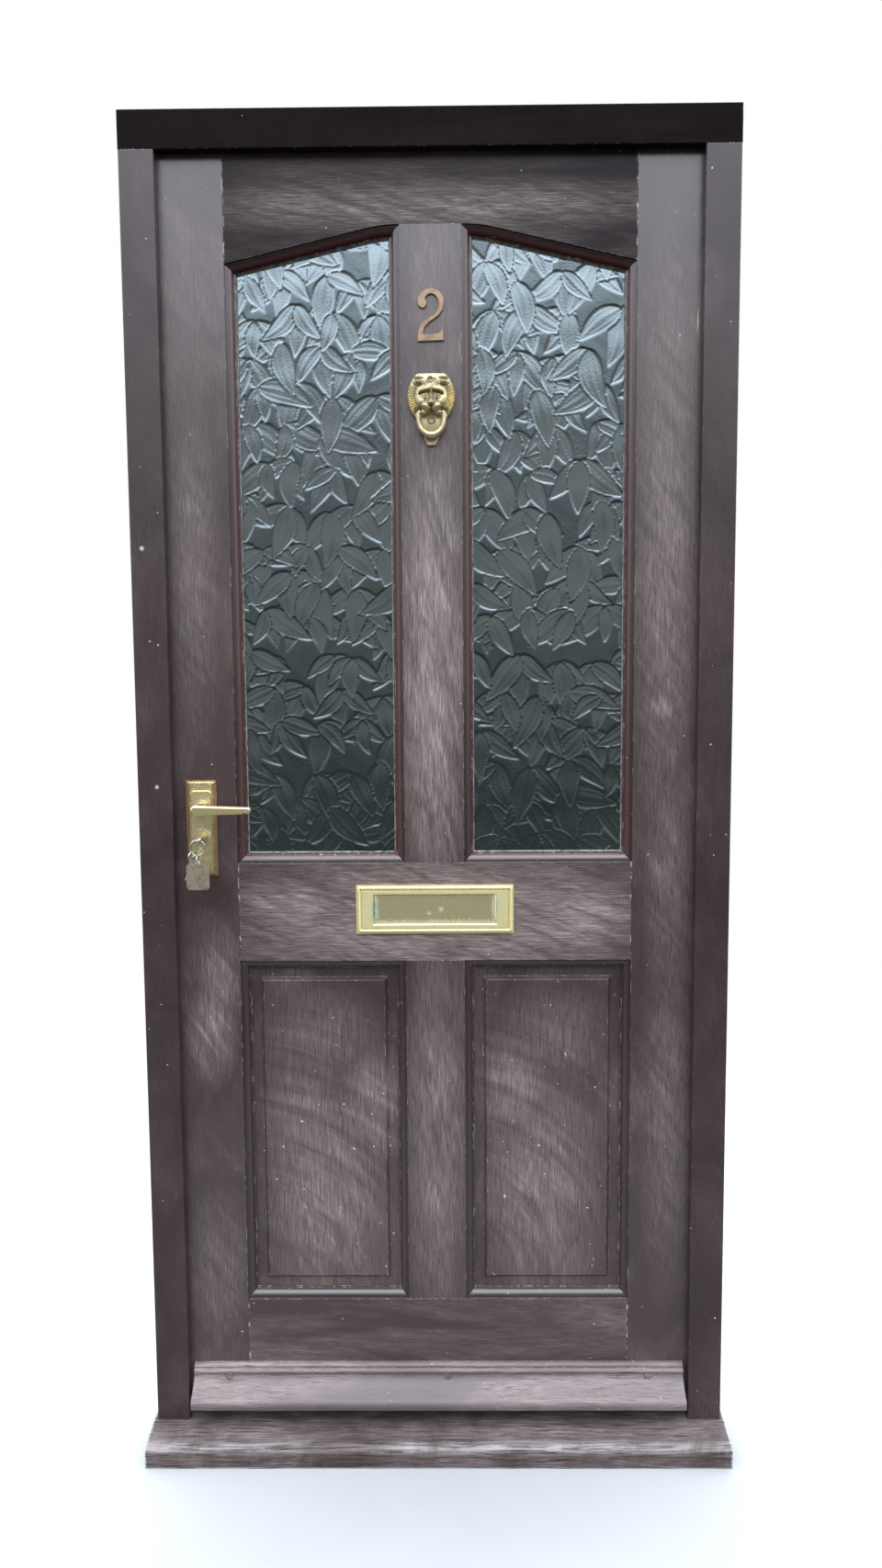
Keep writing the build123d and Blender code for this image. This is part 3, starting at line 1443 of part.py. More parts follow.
PARTS = {
    "sill": sill,
    "water_bar": water_bar,
    "jamb_left": strike_jamb,
    "jamb_right": hinge_jamb,
    "frame_head": frame_head,
    "strike_plate": strike_plate,
    "strike_screws": lambda: slotted_screws(strike_screw_places()),
    "hinge_plates_frame": lambda: group(
        hinge_plate(z, 1, frame_hinge_screws()) for z in HINGE_HEIGHTS
    ),
    "hinge_pins": lambda: group(hinge_pin(z) for z in HINGE_HEIGHTS),
    "hinge_screws_frame": lambda: slotted_screws(frame_hinge_screws()),
    "hinge_plates_leaf": lambda: group(
        hinge_plate(z, 0, leaf_hinge_screws()) for z in HINGE_HEIGHTS
    ),
    "hinge_screws_leaf": lambda: slotted_screws(leaf_hinge_screws()),
    "stile_lock": lock_stile,
    "stile_hinge": hinge_stile,
    "top_rail": top_rail,
    "lock_rail": lock_rail,
    "bottom_rail": bottom_rail,
    "muntin_upper": upper_muntin,
    "muntin_lower": lower_muntin,
    "panel_left": panel,
    "panel_right": lambda: mirrored(panel()),
    "glass_left": pane,
    "glass_right": lambda: mirrored(pane()),
    "glazing_beads_left": lambda: group(beads()),
    "glazing_beads_right": lambda: group(mirrored(bead) for bead in beads()),
    "glazing_sealant": lambda: group((sealant(), mirrored(sealant()))),
    "weatherboard": weatherboard,
    "weatherboard_screws": lambda: group(board_screws()),
    "weatherboard_pellets": lambda: group(pellets()),
    "lock_case": lock_case,
    "lock_forend": forend,
    "forend_screws": lambda: slotted_screws(forend_screw_places()),
    "cylinder_body": cylinder_body,
    "backplate_outside": backplate,
    "backplate_inside": inside_backplate,
    "backplate_screws": lambda: slotted_screws(backplate_screw_places()),
    "lever_outside": lever,
    "lever_inside": inside_lever,
    "lever_spindle": spindle,
    "lock_follower": follower,
    "latch_bolt": latch_bolt,
    "dead_bolt": dead_bolt,
    "cylinder_plug": plug,
    "door_key": door_key,
    "key_ring": key_ring,
    "tag_link": tag_link,
    "key_tag": key_tag,
    "spare_key": spare_key,
    "letter_plate": letter_plate,
    "letter_plate_bolts": lambda: group(letter_bolts()),
    "letter_flap": letter_flap,
    "flap_pin": flap_pin,
    "flap_spring": flap_spring,
    "knocker_head": knocker_head,
    "knocker_screws": lambda: slotted_screws(knocker_screw_places()),
    "knocker_ring": knocker_ring,
    "numeral_two": numeral,
    "numeral_screws": lambda: group(numeral_pins().solids()),
}


def main():
    os.makedirs("parts", exist_ok=True)
    for node, make in PARTS.items():
        export_step(make(), f"parts/{node}.step")


main()
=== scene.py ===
"""Looks of the panelled front door: relief glass, carved knocker, rope border, finishes, light and camera."""

import math

import bpy
import numpy as np
from mathutils import Matrix, Vector


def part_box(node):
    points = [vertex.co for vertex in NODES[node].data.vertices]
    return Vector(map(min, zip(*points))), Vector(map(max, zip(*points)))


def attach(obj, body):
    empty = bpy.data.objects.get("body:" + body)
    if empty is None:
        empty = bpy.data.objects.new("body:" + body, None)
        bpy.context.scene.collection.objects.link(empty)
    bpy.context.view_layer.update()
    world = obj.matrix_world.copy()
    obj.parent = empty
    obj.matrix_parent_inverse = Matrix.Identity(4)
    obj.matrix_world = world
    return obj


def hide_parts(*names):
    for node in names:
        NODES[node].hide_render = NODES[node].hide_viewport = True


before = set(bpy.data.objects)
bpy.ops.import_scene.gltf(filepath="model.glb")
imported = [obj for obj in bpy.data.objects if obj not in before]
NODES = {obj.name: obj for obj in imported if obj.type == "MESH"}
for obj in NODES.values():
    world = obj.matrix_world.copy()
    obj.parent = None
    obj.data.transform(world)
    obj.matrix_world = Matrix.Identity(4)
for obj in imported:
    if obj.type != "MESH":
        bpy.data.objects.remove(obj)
MM = 0.001

# Camera, solved from the leaf's edges in the photograph
CAMERA_AT = (0.0283, -1.770, 1.2585)
CAMERA_PITCH = math.radians(5.453)
CAMERA_YAW = math.radians(-0.561)
CAMERA_ROLL = math.radians(-0.381)
LENS = 25.94

# Sky: each step is (from, to, adds from, adds to) over the height of a direction, and the steps add up
SKY_STEPS = (
    (-0.11, 0.0, 0.10, 0.42),
    (0.0, 0.23, 0.0, 0.22),
    (0.25, 0.285, 0.0, 2.1),
    (0.40, 0.80, 0.0, 3.0),
)
ROOFLINE = SKY_STEPS[2][:2]
STREET_TINT = (1.0, 0.985, 0.96, 1)
SKY_TINT = (0.82, 0.89, 1.0, 1)

# Floor, pale to the camera and darker in what it throws back
FLOOR_FADE = (1.4, 2.2)
FLOOR_SIDES = 96
FLOOR_SHOWN = ((0.34, 0.34, 0.33, 1), (0.28, 0.28, 0.28, 1))
FLOOR_BOUNCE = (0.09, 0.09, 0.088, 1)

# Relief glass, in millimetres
GLASS_STEP = 1.5
RELIEF = 2.2
GROUND_SUNK = 0.50
LEAF_SUNK = 0.45
LEAF_LONG = 84.0
LEAF_HALF = 19.0
LEAF_WALL = 2.0
PRESSED = 0.75
RIBS_AT = (0.36, 0.70)
RIB_HALF = 0.9
CLUSTER_PITCH = 58.0
CLUSTER_STRAY = (-15, 15)
CLUSTER_LEAVES = 3
FAN_TURN = 0.72
LEAF_SIZES = (0.66, 1.12)
LEAF_BENDS = (-0.4, 0.4)
SEED = 7

# Look of the glass: depths behind the face where the leaves begin and are full, and shares of mirror
LEAF_DEPTHS = (0.8, 1.15)
GLASS_MIRROR = (0.03, 0.15)
GLASS_TINT = (0.80, 0.94, 1.0, 1)
GLASS_INDEX = 1.52
HALL_TONES = ((0.004, 0.008, 0.007, 1), (0.012, 0.016, 0.014, 1))

# Knocker and rope, in millimetres
LION_STEP = 0.55
LION_EDGE = 2.4
LION_FOOT = 0.2
SCREW_CLEAR = 4
MANE_LOCKS = 60
PIVOT_LEVEL = -59.5
PIVOT_OUT = 12.8
RING_SWING = 7.7
LUG_HALF = 4.2
ROPE_INSET = 4.6
ROPE_OUT = 3.5
ROPE_ROUND = 14
ROPE_STEP = 0.55
ROPE_RADIUS = 3.1
ROPE_PITCH = 4.6

rng = np.random.default_rng(SEED)


# Shader helpers


def new_material(name):
    material = bpy.data.materials.new(name)
    material.use_nodes = True
    material.node_tree.nodes.clear()
    return material, material.node_tree


def put(tree, kind, values=None, **settings):
    """Adds a node, sets its options, and feeds its inputs with numbers or with other sockets."""
    node = tree.nodes.new(kind)
    for key, value in settings.items():
        setattr(node, key, value)
    for key, value in (values or {}).items():
        socket = node.inputs[key]
        if isinstance(value, bpy.types.NodeSocket):
            tree.links.new(value, socket)
        else:
            socket.default_value = value
    return node


def math_node(tree, operation, a, b=0.0, clamp=False):
    node = put(tree, "ShaderNodeMath", {0: a, 1: b}, operation=operation, use_clamp=clamp)
    return node.outputs[0]


def times(tree, a, b, clamp=False):
    return math_node(tree, "MULTIPLY", a, b, clamp)


def plus(tree, a, b):
    return math_node(tree, "ADD", a, b)


def mix_color(tree, factor, a, b):
    node = put(tree, "ShaderNodeMix", {0: factor, 6: a, 7: b}, data_type="RGBA")
    return node.outputs[2]


def ramp(tree, value, low, high, to_low=0.0, to_high=1.0):
    node = put(tree, "ShaderNodeMapRange", {0: value, 1: low, 2: high, 3: to_low, 4: to_high})
    return node.outputs[0]


def place(tree):
    """Coordinates in metres in the CAD frame, which every piece here keeps."""
    return put(tree, "ShaderNodeTexCoord").outputs["Object"]


def axis(tree, vector, index):
    """One coordinate of a vector: 0 is across, 1 is deep and 2 is up."""
    return put(tree, "ShaderNodeSeparateXYZ", {0: vector}).outputs[index]


def measured_from(tree, vector, x, z):
    """The vector from the point (x, z) on the door's face."""
    moved = put(tree, "ShaderNodeVectorMath", {0: vector, 1: (x, 0.0, z)}, operation="SUBTRACT")
    return moved.outputs[0]


def length_of(tree, vector):
    return put(tree, "ShaderNodeVectorMath", {0: vector}, operation="LENGTH").outputs[1]


def rounded(tree, radius):
    """The normal of the surface with its arrises rounded."""
    return put(tree, "ShaderNodeBevel", {"Radius": radius}, samples=4).outputs[0]


def noise(tree, vector, stretch, detail=4.0, rough=0.6, twist=0.0, turn=0.0):
    """Noise with so many waves in a metre along each axis, turned about the depth."""
    if turn:
        values = {"Vector": vector, "Angle": turn}
        vector = put(tree, "ShaderNodeVectorRotate", values, rotation_type="Y_AXIS").outputs[0]
    mapped = put(tree, "ShaderNodeMapping", {0: vector, 3: stretch})
    values = {"Vector": mapped.outputs[0], "Scale": 1.0, "Detail": detail}
    values.update({"Roughness": rough, "Distortion": twist})
    return put(tree, "ShaderNodeTexNoise", values).outputs[0]


def patch(tree, vector, spot):
    """A soft oval at (x, z) with half sizes (rx, rz) and a strength."""
    x, z, rx, rz, strength = spot
    values = {0: measured_from(tree, vector, x, z), 1: (1 / rx, 0.0, 1 / rz)}
    scaled = put(tree, "ShaderNodeVectorMath", values, operation="MULTIPLY")
    return ramp(tree, length_of(tree, scaled.outputs[0]), 1.0, 0.25, 0.0, strength)


def patches(tree, vector, spots):
    total = None
    for spot in spots:
        one = patch(tree, vector, spot)
        total = one if total is None else math_node(tree, "MAXIMUM", total, one)
    return total


def edge_mask(tree, radius):
    """How far the surface bends near an arris: 0 on a flat, towards 1 on an edge."""
    flat = put(tree, "ShaderNodeNewGeometry").outputs["Normal"]
    values = {0: rounded(tree, radius), 1: flat}
    dot = put(tree, "ShaderNodeVectorMath", values, operation="DOT_PRODUCT")
    return ramp(tree, dot.outputs[1], 0.995, 0.86)


def finish_surface(tree, values, height, bump, bevel=0.0):
    """Joins a principled shader with its relief, and with rounded arrises where bevel has a radius."""
    fed = {"Strength": 1.0, "Distance": bump, "Height": height}
    if bevel:
        fed["Normal"] = rounded(tree, bevel)
    normal = put(tree, "ShaderNodeBump", fed).outputs[0]
    shader = put(tree, "ShaderNodeBsdfPrincipled", {**values, "Normal": normal})
    put(tree, "ShaderNodeOutputMaterial", {0: shader.outputs[0]})


# Finishes

# Stuck moulding, by its depth behind the leaf's face, and the sill of the panes, above which it is redder. The
# first two depths bound the dark line in the groove beside the moulding, which is painted shade
QUIRK_SHADE_TOP = (0.0003, 0.0008)
QUIRK_SHADE_END = (0.0040, 0.0027)
QUIRK_FOOT = (0.0026, 0.0034)
MOULD_FOOT = (0.0180, 0.0170)
PANE_FOOT = (0.925, 0.955)

# Directions of the grain, and the clouds that go with them
UPRIGHT = (1.0, 1.0, 0.035)
LEVEL = (0.035, 1.0, 1.0)
CLOUDS = {UPRIGHT: (7.0, 7.0, 5.0), LEVEL: (2.5, 7.0, 13.0)}

# Paint: shares and shine that a timber may change, and sizes in metres
PAINT_LOOK = {"grain": 1.0, "chalk": 0.75, "gloss": 0.25, "sheen": 0.8, "stuck": False}
PAINT_RELIEF = 0.00016
PAINT_BEVEL = 0.0009
ARRIS = 0.0016

BROWN = (0.042, 0.0262, 0.0262, 1)
PORE = (0.020, 0.013, 0.013, 1)
STAIN = (0.085, 0.022, 0.018, 1)
CHALK = (0.47, 0.385, 0.350, 1)
BEAD_RED = (0.060, 0.025, 0.022, 1)
CHIP = (0.55, 0.48, 0.42, 1)

# Sill, with the front of its nosing by depth and height
NOSING_Y = (-0.062, -0.078)
NOSING_Z = (0.020, 0.034)
SILL_TONES = ((0.014, 0.009, 0.008, 1), (0.085, 0.060, 0.055, 1))
SILL_GREY = (0.22, 0.185, 0.18, 1)
SILL_RUBBED = (0.52, 0.46, 0.44, 1)
SILL_BARE = (0.33, 0.29, 0.285, 1)


def shade(tone, factor):
    return tuple(factor * c for c in tone[:3]) + (1,)


def arcs(tree, vector, centre):
    """Wiping marks that sweep round a centre (x, z): long along the arc, narrow across it."""
    moved = measured_from(tree, vector, *centre)
    turn = math_node(tree, "ARCTAN2", axis(tree, moved, 2), axis(tree, moved, 0))
    polar = put(tree, "ShaderNodeCombineXYZ", {0: length_of(tree, moved), 1: turn})
    return noise(tree, polar.outputs[0], (52.0, 1.6, 1.0), 4.0, 0.6, 0.6)


def stuck_masks(tree, at):
    """Where the outside stuck moulding lies, and the dark line in the groove between it and the face, which is
    painted shade.
    """
    depth = axis(tree, at, 1)
    moulding = times(tree, ramp(tree, depth, *QUIRK_FOOT), ramp(tree, depth, *MOULD_FOOT))
    quirk_shade = times(tree, ramp(tree, depth, *QUIRK_SHADE_TOP), ramp(tree, depth, *QUIRK_SHADE_END))
    return moulding, quirk_shade


def joint_lines(tree, at, color, joints, broken):
    """Dark lines where two timbers meet, at distances |x| from the middle, with pale chips beside them."""
    for position in joints:
        away = math_node(tree, "SUBTRACT", math_node(tree, "ABSOLUTE", axis(tree, at, 0)), position)
        away = math_node(tree, "ABSOLUTE", away)
        line = ramp(tree, away, 0.0010, 0.0004, 0.0, 0.85)
        color = mix_color(tree, line, color, PORE)
        beside = ramp(tree, away, 0.0024, 0.0012)
        chips = times(tree, beside, ramp(tree, broken, 0.52, 0.60, 0.0, 0.75))
        color = mix_color(tree, chips, color, CHIP)
    return color


def paint(name, along, tone=BROWN, haze=0.3, spots=(), marks=(), strokes=0.6, swirl=None, joints=(), **look):
    """Satin paint over timber: grain, chalky rubbed places, stained and chipped arrises, joint lines."""
    look = {**PAINT_LOOK, **look}
    material, tree = new_material(name)
    at = place(tree)
    fine = noise(tree, at, tuple(900 * s for s in along), 3.0, 0.7, 0.6)
    streak = noise(tree, at, tuple(300 * s for s in along), 4.0, 0.7, 1.2)
    cloud = noise(tree, at, CLOUDS[along], 4.0, 0.6, 0.8)
    if swirl:
        rub = arcs(tree, at, swirl)
    else:
        rub = noise(tree, at, (62.0, 40.0, 9.0), 4.0, 0.6, 0.8, strokes)
    area = ramp(tree, cloud, 0.42, 0.68, 0.0, haze)
    if spots:
        area = math_node(tree, "MAXIMUM", area, patches(tree, at, spots))
    wiped = ramp(tree, rub, 0.36, 0.66, 0.40, 1.0)
    area = times(tree, area, wiped)
    if look["stuck"]:
        moulding, quirk_shade = stuck_masks(tree, at)
        area = times(tree, area, ramp(tree, moulding, 0.0, 1.0, 1.0, 0.15))
    ridges = ramp(tree, fine, 0.42, 0.60, 0.30, 1.0)
    strands = ramp(tree, streak, 0.36, 0.62, 0.45, 1.0)
    chalk = times(tree, times(tree, ridges, strands), area)
    color = mix_color(tree, ramp(tree, cloud, 0.35, 0.65), shade(tone, 0.85), shade(tone, 1.18))
    open_grain = times(tree, ramp(tree, area, 0.0, 0.5, 0.25, 1.0), look["grain"])
    pores = times(tree, ramp(tree, fine, 0.47, 0.36), open_grain)
    color = mix_color(tree, times(tree, pores, 0.8), color, PORE)
    color = mix_color(tree, times(tree, chalk, look["chalk"]), color, CHALK)
    if look["stuck"]:
        by_pane = ramp(tree, axis(tree, at, 2), *PANE_FOOT)
        mould_tone = mix_color(tree, by_pane, shade(BROWN, 0.8), BEAD_RED)
        color = mix_color(tree, times(tree, moulding, 0.85), color, mould_tone)
    arris = edge_mask(tree, ARRIS)
    stained = times(tree, arris, ramp(tree, cloud, 0.40, 0.62, 0.2, 0.9))
    color = mix_color(tree, stained, color, STAIN)
    broken = noise(tree, at, (190.0, 190.0, 60.0), 5.0, 0.7)
    chipped = times(tree, arris, ramp(tree, broken, 0.54, 0.60, 0.0, 0.9))
    color = mix_color(tree, chipped, color, CHIP)
    specks = noise(tree, at, (150.0, 150.0, 150.0), 1.0, 0.4)
    color = mix_color(tree, ramp(tree, specks, 0.79, 0.80, 0.0, 0.8), color, CHIP)
    color = joint_lines(tree, at, color, joints, broken)
    if look["stuck"]:
        # The dark line in the groove beside the moulding is painted shade.
        color = mix_color(tree, times(tree, quirk_shade, 0.8), color, shade(PORE, 0.6))
    if marks:
        color = mix_color(tree, patches(tree, at, marks), color, CHIP)
    height = times(tree, fine, plus(tree, 0.25, open_grain))
    rough = plus(tree, look["gloss"], times(tree, area, 0.14))
    rough = plus(tree, rough, ramp(tree, fine, 0.3, 0.7, -0.05, 0.08))
    values = {"Base Color": color, "Roughness": rough, "Specular IOR Level": look["sheen"]}
    finish_surface(tree, values, height, PAINT_RELIEF, PAINT_BEVEL)
    return material


def worn_sill():
    """Stained timber gone grey: pale raised grain, dark checks, and a nosing rubbed almost bare."""
    material, tree = new_material("worn_sill")
    at = place(tree)
    fine = noise(tree, at, (22.0, 800.0, 800.0), 4.0, 0.75, 0.5)
    streak = noise(tree, at, (8.0, 210.0, 210.0), 5.0, 0.75, 0.9)
    cloud = noise(tree, at, (9.0, 9.0, 9.0), 5.0, 0.7, 0.5)
    color = mix_color(tree, ramp(tree, streak, 0.35, 0.62), *SILL_TONES)
    greyed = times(tree, ramp(tree, fine, 0.44, 0.60), ramp(tree, cloud, 0.38, 0.62, 0.05, 0.85))
    color = mix_color(tree, greyed, color, SILL_GREY)
    color = mix_color(tree, ramp(tree, fine, 0.43, 0.34, 0.0, 0.95), color, PORE)
    rubbed = times(tree, edge_mask(tree, 0.005), ramp(tree, streak, 0.40, 0.52))
    color = mix_color(tree, rubbed, color, SILL_RUBBED)
    nosing = times(tree, ramp(tree, axis(tree, at, 1), *NOSING_Y), ramp(tree, axis(tree, at, 2), *NOSING_Z))
    bare = times(tree, nosing, ramp(tree, streak, 0.44, 0.55))
    bare = times(tree, bare, ramp(tree, cloud, 0.42, 0.58, 0.35, 1.0))
    color = mix_color(tree, bare, color, SILL_BARE)
    height = plus(tree, times(tree, fine, 0.5), times(tree, streak, 0.5))
    rough = ramp(tree, fine, 0.3, 0.7, 0.5, 0.8)
    values = {"Base Color": color, "Roughness": rough, "Specular IOR Level": 0.3}
    finish_surface(tree, values, height, 0.0016, 0.0012)
    return material


def brass(name, tone, tarnish_tone, rough, tarnish, metal=0.75, stains=(), border=None):
    """Brass with clouds of tarnish, coloured stains (spots, colour), and a ragged pale border (box, colour)."""
    material, tree = new_material(name)
    at = place(tree)
    cloud = noise(tree, at, (60.0, 60.0, 60.0), 5.0, 0.65, 0.8)
    fine = noise(tree, at, (700.0, 700.0, 260.0), 3.0, 0.6)
    ragged = noise(tree, at, (330.0, 330.0, 330.0), 4.0, 0.7)
    dirt = ramp(tree, cloud, 0.45, 0.68, 0.0, tarnish)
    color = mix_color(tree, dirt, tone, tarnish_tone)
    if border:
        (x, z, half_x, half_z), pale = border
        moved = measured_from(tree, at, x, z)
        side = math_node(tree, "SUBTRACT", half_x, math_node(tree, "ABSOLUTE", axis(tree, moved, 0)))
        end = math_node(tree, "SUBTRACT", half_z, math_node(tree, "ABSOLUTE", axis(tree, moved, 2)))
        inward = math_node(tree, "MINIMUM", side, end)
        wandering = plus(tree, inward, ramp(tree, ragged, 0.35, 0.65, -0.004, 0.004))
        color = mix_color(tree, ramp(tree, wandering, 0.0060, 0.0035), color, pale)
    for spots, stain in stains:
        share = times(tree, patches(tree, at, spots), ramp(tree, ragged, 0.38, 0.56), True)
        color = mix_color(tree, share, color, stain)
    roughness = plus(tree, rough, times(tree, dirt, 0.2))
    roughness = plus(tree, roughness, ramp(tree, fine, 0.3, 0.7, -0.03, 0.05))
    values = {"Base Color": color, "Roughness": roughness, "Metallic": metal}
    finish_surface(tree, values, fine, 0.00004, 0.0004)
    return material


def steel(name, tone, rough):
    """Bare metal with darker clouds."""
    material, tree = new_material(name)
    at = place(tree)
    fine = noise(tree, at, (500.0, 500.0, 120.0), 3.0, 0.6)
    cloud = noise(tree, at, (90.0, 90.0, 90.0), 4.0, 0.6)
    color = mix_color(tree, ramp(tree, cloud, 0.4, 0.7), tone, shade(tone, 0.6))
    roughness = ramp(tree, fine, 0.3, 0.7, rough - 0.05, rough + 0.12)
    values = {"Base Color": color, "Metallic": 1.0, "Roughness": roughness}
    finish_surface(tree, values, fine, 0.00003, 0.0003)
    return material


def relief_glass(face):
    """Dark glass over a dim hall. The leaves, pressed in behind the face, mirror the sky more clearly."""
    material, tree = new_material("relief_glass")
    at = place(tree)
    leafy = ramp(tree, axis(tree, at, 1), *[face + deep * MM for deep in LEAF_DEPTHS])
    cloud = noise(tree, at, (9.0, 9.0, 9.0), 3.0, 0.5)
    stipple = noise(tree, at, (420.0, 420.0, 420.0), 3.0, 0.6)
    color = mix_color(tree, ramp(tree, cloud, 0.35, 0.65), *HALL_TONES)
    normal = put(tree, "ShaderNodeBump", {"Strength": 1.0, "Distance": 0.00012, "Height": stipple}).outputs[0]
    clear = ramp(tree, leafy, 0.0, 1.0, 0.13, 0.0)
    rough = plus(tree, clear, ramp(tree, stipple, 0.3, 0.7, 0.05, 0.12))
    values = {"Base Color": color, "Roughness": rough, "Normal": normal}
    values.update({"IOR": GLASS_INDEX, "Specular IOR Level": 1.0, "Specular Tint": GLASS_TINT})
    body = put(tree, "ShaderNodeBsdfPrincipled", values)
    mirror_values = {"Color": GLASS_TINT, "Roughness": 0.08, "Normal": normal}
    mirror = put(tree, "ShaderNodeBsdfAnisotropic", mirror_values)
    share = ramp(tree, leafy, 0.0, 1.0, *GLASS_MIRROR)
    both = put(tree, "ShaderNodeMixShader", {0: share, 1: body.outputs[0], 2: mirror.outputs[0]})
    put(tree, "ShaderNodeOutputMaterial", {0: both.outputs[0]})
    return material


def putty():
    material, tree = new_material("aged_sealant")
    at = place(tree)
    cloud = noise(tree, at, (120.0, 120.0, 120.0), 4.0, 0.6)
    color = mix_color(tree, ramp(tree, cloud, 0.4, 0.65), (0.20, 0.23, 0.20, 1), (0.05, 0.055, 0.05, 1))
    values = {"Base Color": color, "Roughness": ramp(tree, cloud, 0.3, 0.7, 0.45, 0.7)}
    finish_surface(tree, values, cloud, 0.0003, 0.0006)
    return material


def dress(material, *names):
    for name in names:
        piece = NODES[name]
        piece.data.materials.clear()
        piece.data.materials.append(material)


def smooth_mesh(name, points, faces, material, body):
    mesh = bpy.data.meshes.new(name)
    mesh.from_pydata(points, [], faces)
    mesh.validate()
    mesh.polygons.foreach_set("use_smooth", [True] * len(mesh.polygons))
    mesh.materials.append(material)
    piece = bpy.data.objects.new(name, mesh)
    bpy.context.scene.collection.objects.link(piece)
    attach(piece, body)
    return piece


def grid_faces(rows, columns):
    """Quads of a sheet of points stored row by row."""
    k = np.arange((rows - 1) * (columns - 1))
    a = (k // (columns - 1)) * columns + k % (columns - 1)
    return np.stack([a, a + 1, a + columns + 1, a + columns], axis=1).tolist()


def grid_rim(rows, columns):
    """The points round the edge of the same sheet, in order."""
    rim = list(range(columns))
    rim += [r * columns + columns - 1 for r in range(1, rows)]
    rim += [(rows - 1) * columns + c for c in range(columns - 2, -1, -1)]
    return rim + [r * columns for r in range(rows - 2, 0, -1)]


# Panes


def leaf_height(across, up, middle, angle, size, bend):
    """Height of one leaf pressed into the sheet, and where it lies, on points in millimetres."""
    dx, dz = across - middle[0], up - middle[1]
    along = (dx * math.cos(angle) + dz * math.sin(angle)) / (LEAF_LONG * size)
    side = -dx * math.sin(angle) + dz * math.cos(angle)
    inside = (along > 0) & (along < 1)
    safe = np.clip(along, 0.001, 0.999)
    side = side - bend * np.sin(np.pi * safe) * LEAF_HALF
    half = LEAF_HALF * size * np.sin(np.pi * safe**0.8) ** 0.75 * (1.08 - 0.30 * safe)
    share = np.abs(side) / np.maximum(half, 0.3)
    inside &= share < 1
    wall = np.clip((1 - share) * half / LEAF_WALL, 0, 1)
    hollow = PRESSED * wall * wall * (3 - 2 * wall)
    rib_lines = sum(np.exp(-(((share - at) * half / RIB_HALF) ** 2)) for at in RIBS_AT)
    ribs = -0.13 * rib_lines * np.sin(np.pi * safe) ** 0.5
    vein = 0.16 * np.exp(-((side / 1.2) ** 2)) * (1 - 0.5 * safe)
    phase = rng.uniform(0, 2 * math.pi, 2)
    wave = 0.12 * np.sin(8 * safe + phase[0]) + 0.09 * np.sin(side / 8 + phase[1])
    return RELIEF - LEAF_SUNK - hollow + ribs + vein + wave, inside


def leafy_relief(across, up):
    """Clusters of overlapping leaves that mostly hang, on a part stippled ground, as heights in millimetres."""
    swell = np.sin(across * 0.11 + 2 * np.sin(up * 0.05)) * np.sin(up * 0.09 + across * 0.03)
    stipple = np.clip(2.5 * np.sin(across * 0.06 + 1.0) * np.sin(up * 0.045 + across * 0.02), 0, 1)
    height = RELIEF - GROUND_SUNK + 0.12 * swell + stipple * rng.normal(0.0, 0.06, across.shape)
    x0, x1, z0, z1 = across.min(), across.max(), up.min(), up.max()
    leaves = []
    for row in range(int((z1 - z0) / CLUSTER_PITCH) + 4):
        for column in range(int((x1 - x0) / CLUSTER_PITCH) + 3):
            x = x0 + (column - 0.6 + 0.5 * (row % 2)) * CLUSTER_PITCH + rng.uniform(*CLUSTER_STRAY)
            z = z0 + (row - 0.4) * CLUSTER_PITCH + rng.uniform(*CLUSTER_STRAY)
            lean = rng.uniform(-0.5, 0.5)
            for k in range(CLUSTER_LEAVES):
                spread = (k - 1) * FAN_TURN + rng.uniform(-0.3, 0.3)
                angle = -0.5 * math.pi + lean + spread
                leaves.append((x, z, angle, rng.uniform(*LEAF_SIZES), rng.uniform(*LEAF_BENDS)))
    rng.shuffle(leaves)
    for x, z, angle, size, bend in leaves:
        one, inside = leaf_height(across, up, (x, z), angle, size, bend)
        height = np.where(inside, one, height)
    return height


def soften(height):
    """A light blur, so that the moulded edges stay round."""
    padded = np.pad(height, 1, mode="edge")
    middle = padded[1:-1, 1:-1]
    cross = padded[:-2, 1:-1] + padded[2:, 1:-1] + padded[1:-1, :-2] + padded[1:-1, 2:]
    return 0.6 * middle + 0.1 * cross


def relief_pane(node, material):
    """A closed pane with leaves pressed into its outer face, cut to the CAD pane's outline."""
    low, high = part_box(node)
    corners = np.array([v.co for v in NODES[node].data.vertices])
    upper = corners[corners[:, 2] > (low.z + high.z) / 2]
    upper = upper[np.argsort(upper[:, 0])]
    columns = int((high.x - low.x) / (GLASS_STEP * MM)) + 1
    rows = int((high.z - low.z) / (GLASS_STEP * MM)) + 1
    x = np.linspace(low.x, high.x, columns)
    top = np.interp(x, upper[:, 0], upper[:, 2])
    share = np.linspace(0, 1, rows)[:, None]
    z = low.z + share * (top - low.z)[None, :]
    x = np.broadcast_to(x, z.shape)
    height = soften(leafy_relief(x / MM, z / MM))
    y = low.y + (RELIEF - np.clip(height, 0, RELIEF)) * MM
    front = np.stack([x, y, z], axis=-1).reshape(-1, 3)
    faces = grid_faces(rows, columns)
    rim = grid_rim(rows, columns)
    back = front[rim].copy()
    back[:, 1] = high.y
    first, count = len(front), len(rim)
    for k in range(count):
        n = (k + 1) % count
        faces.append([rim[n], rim[k], first + k, first + n])
    faces.append([first + count - 1 - k for k in range(count)])
    points = np.concatenate([front, back]).tolist()
    pane = smooth_mesh("relief_" + node, points, faces, material, "leaf")
    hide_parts(node)


# Lion


def bump(x, z, at, size, high):
    """A rounded boss of the given half sizes and height."""
    reach = ((x - at[0]) / size[0]) ** 2 + ((z - at[1]) / size[1]) ** 2
    return high * np.clip(1 - reach, 0, None) ** 0.5


def soft_bump(x, z, at, size, high):
    """A swelling that fades out on all sides."""
    reach = ((x - at[0]) / size[0]) ** 2 + ((z - at[1]) / size[1]) ** 2
    return high * np.exp(-reach)


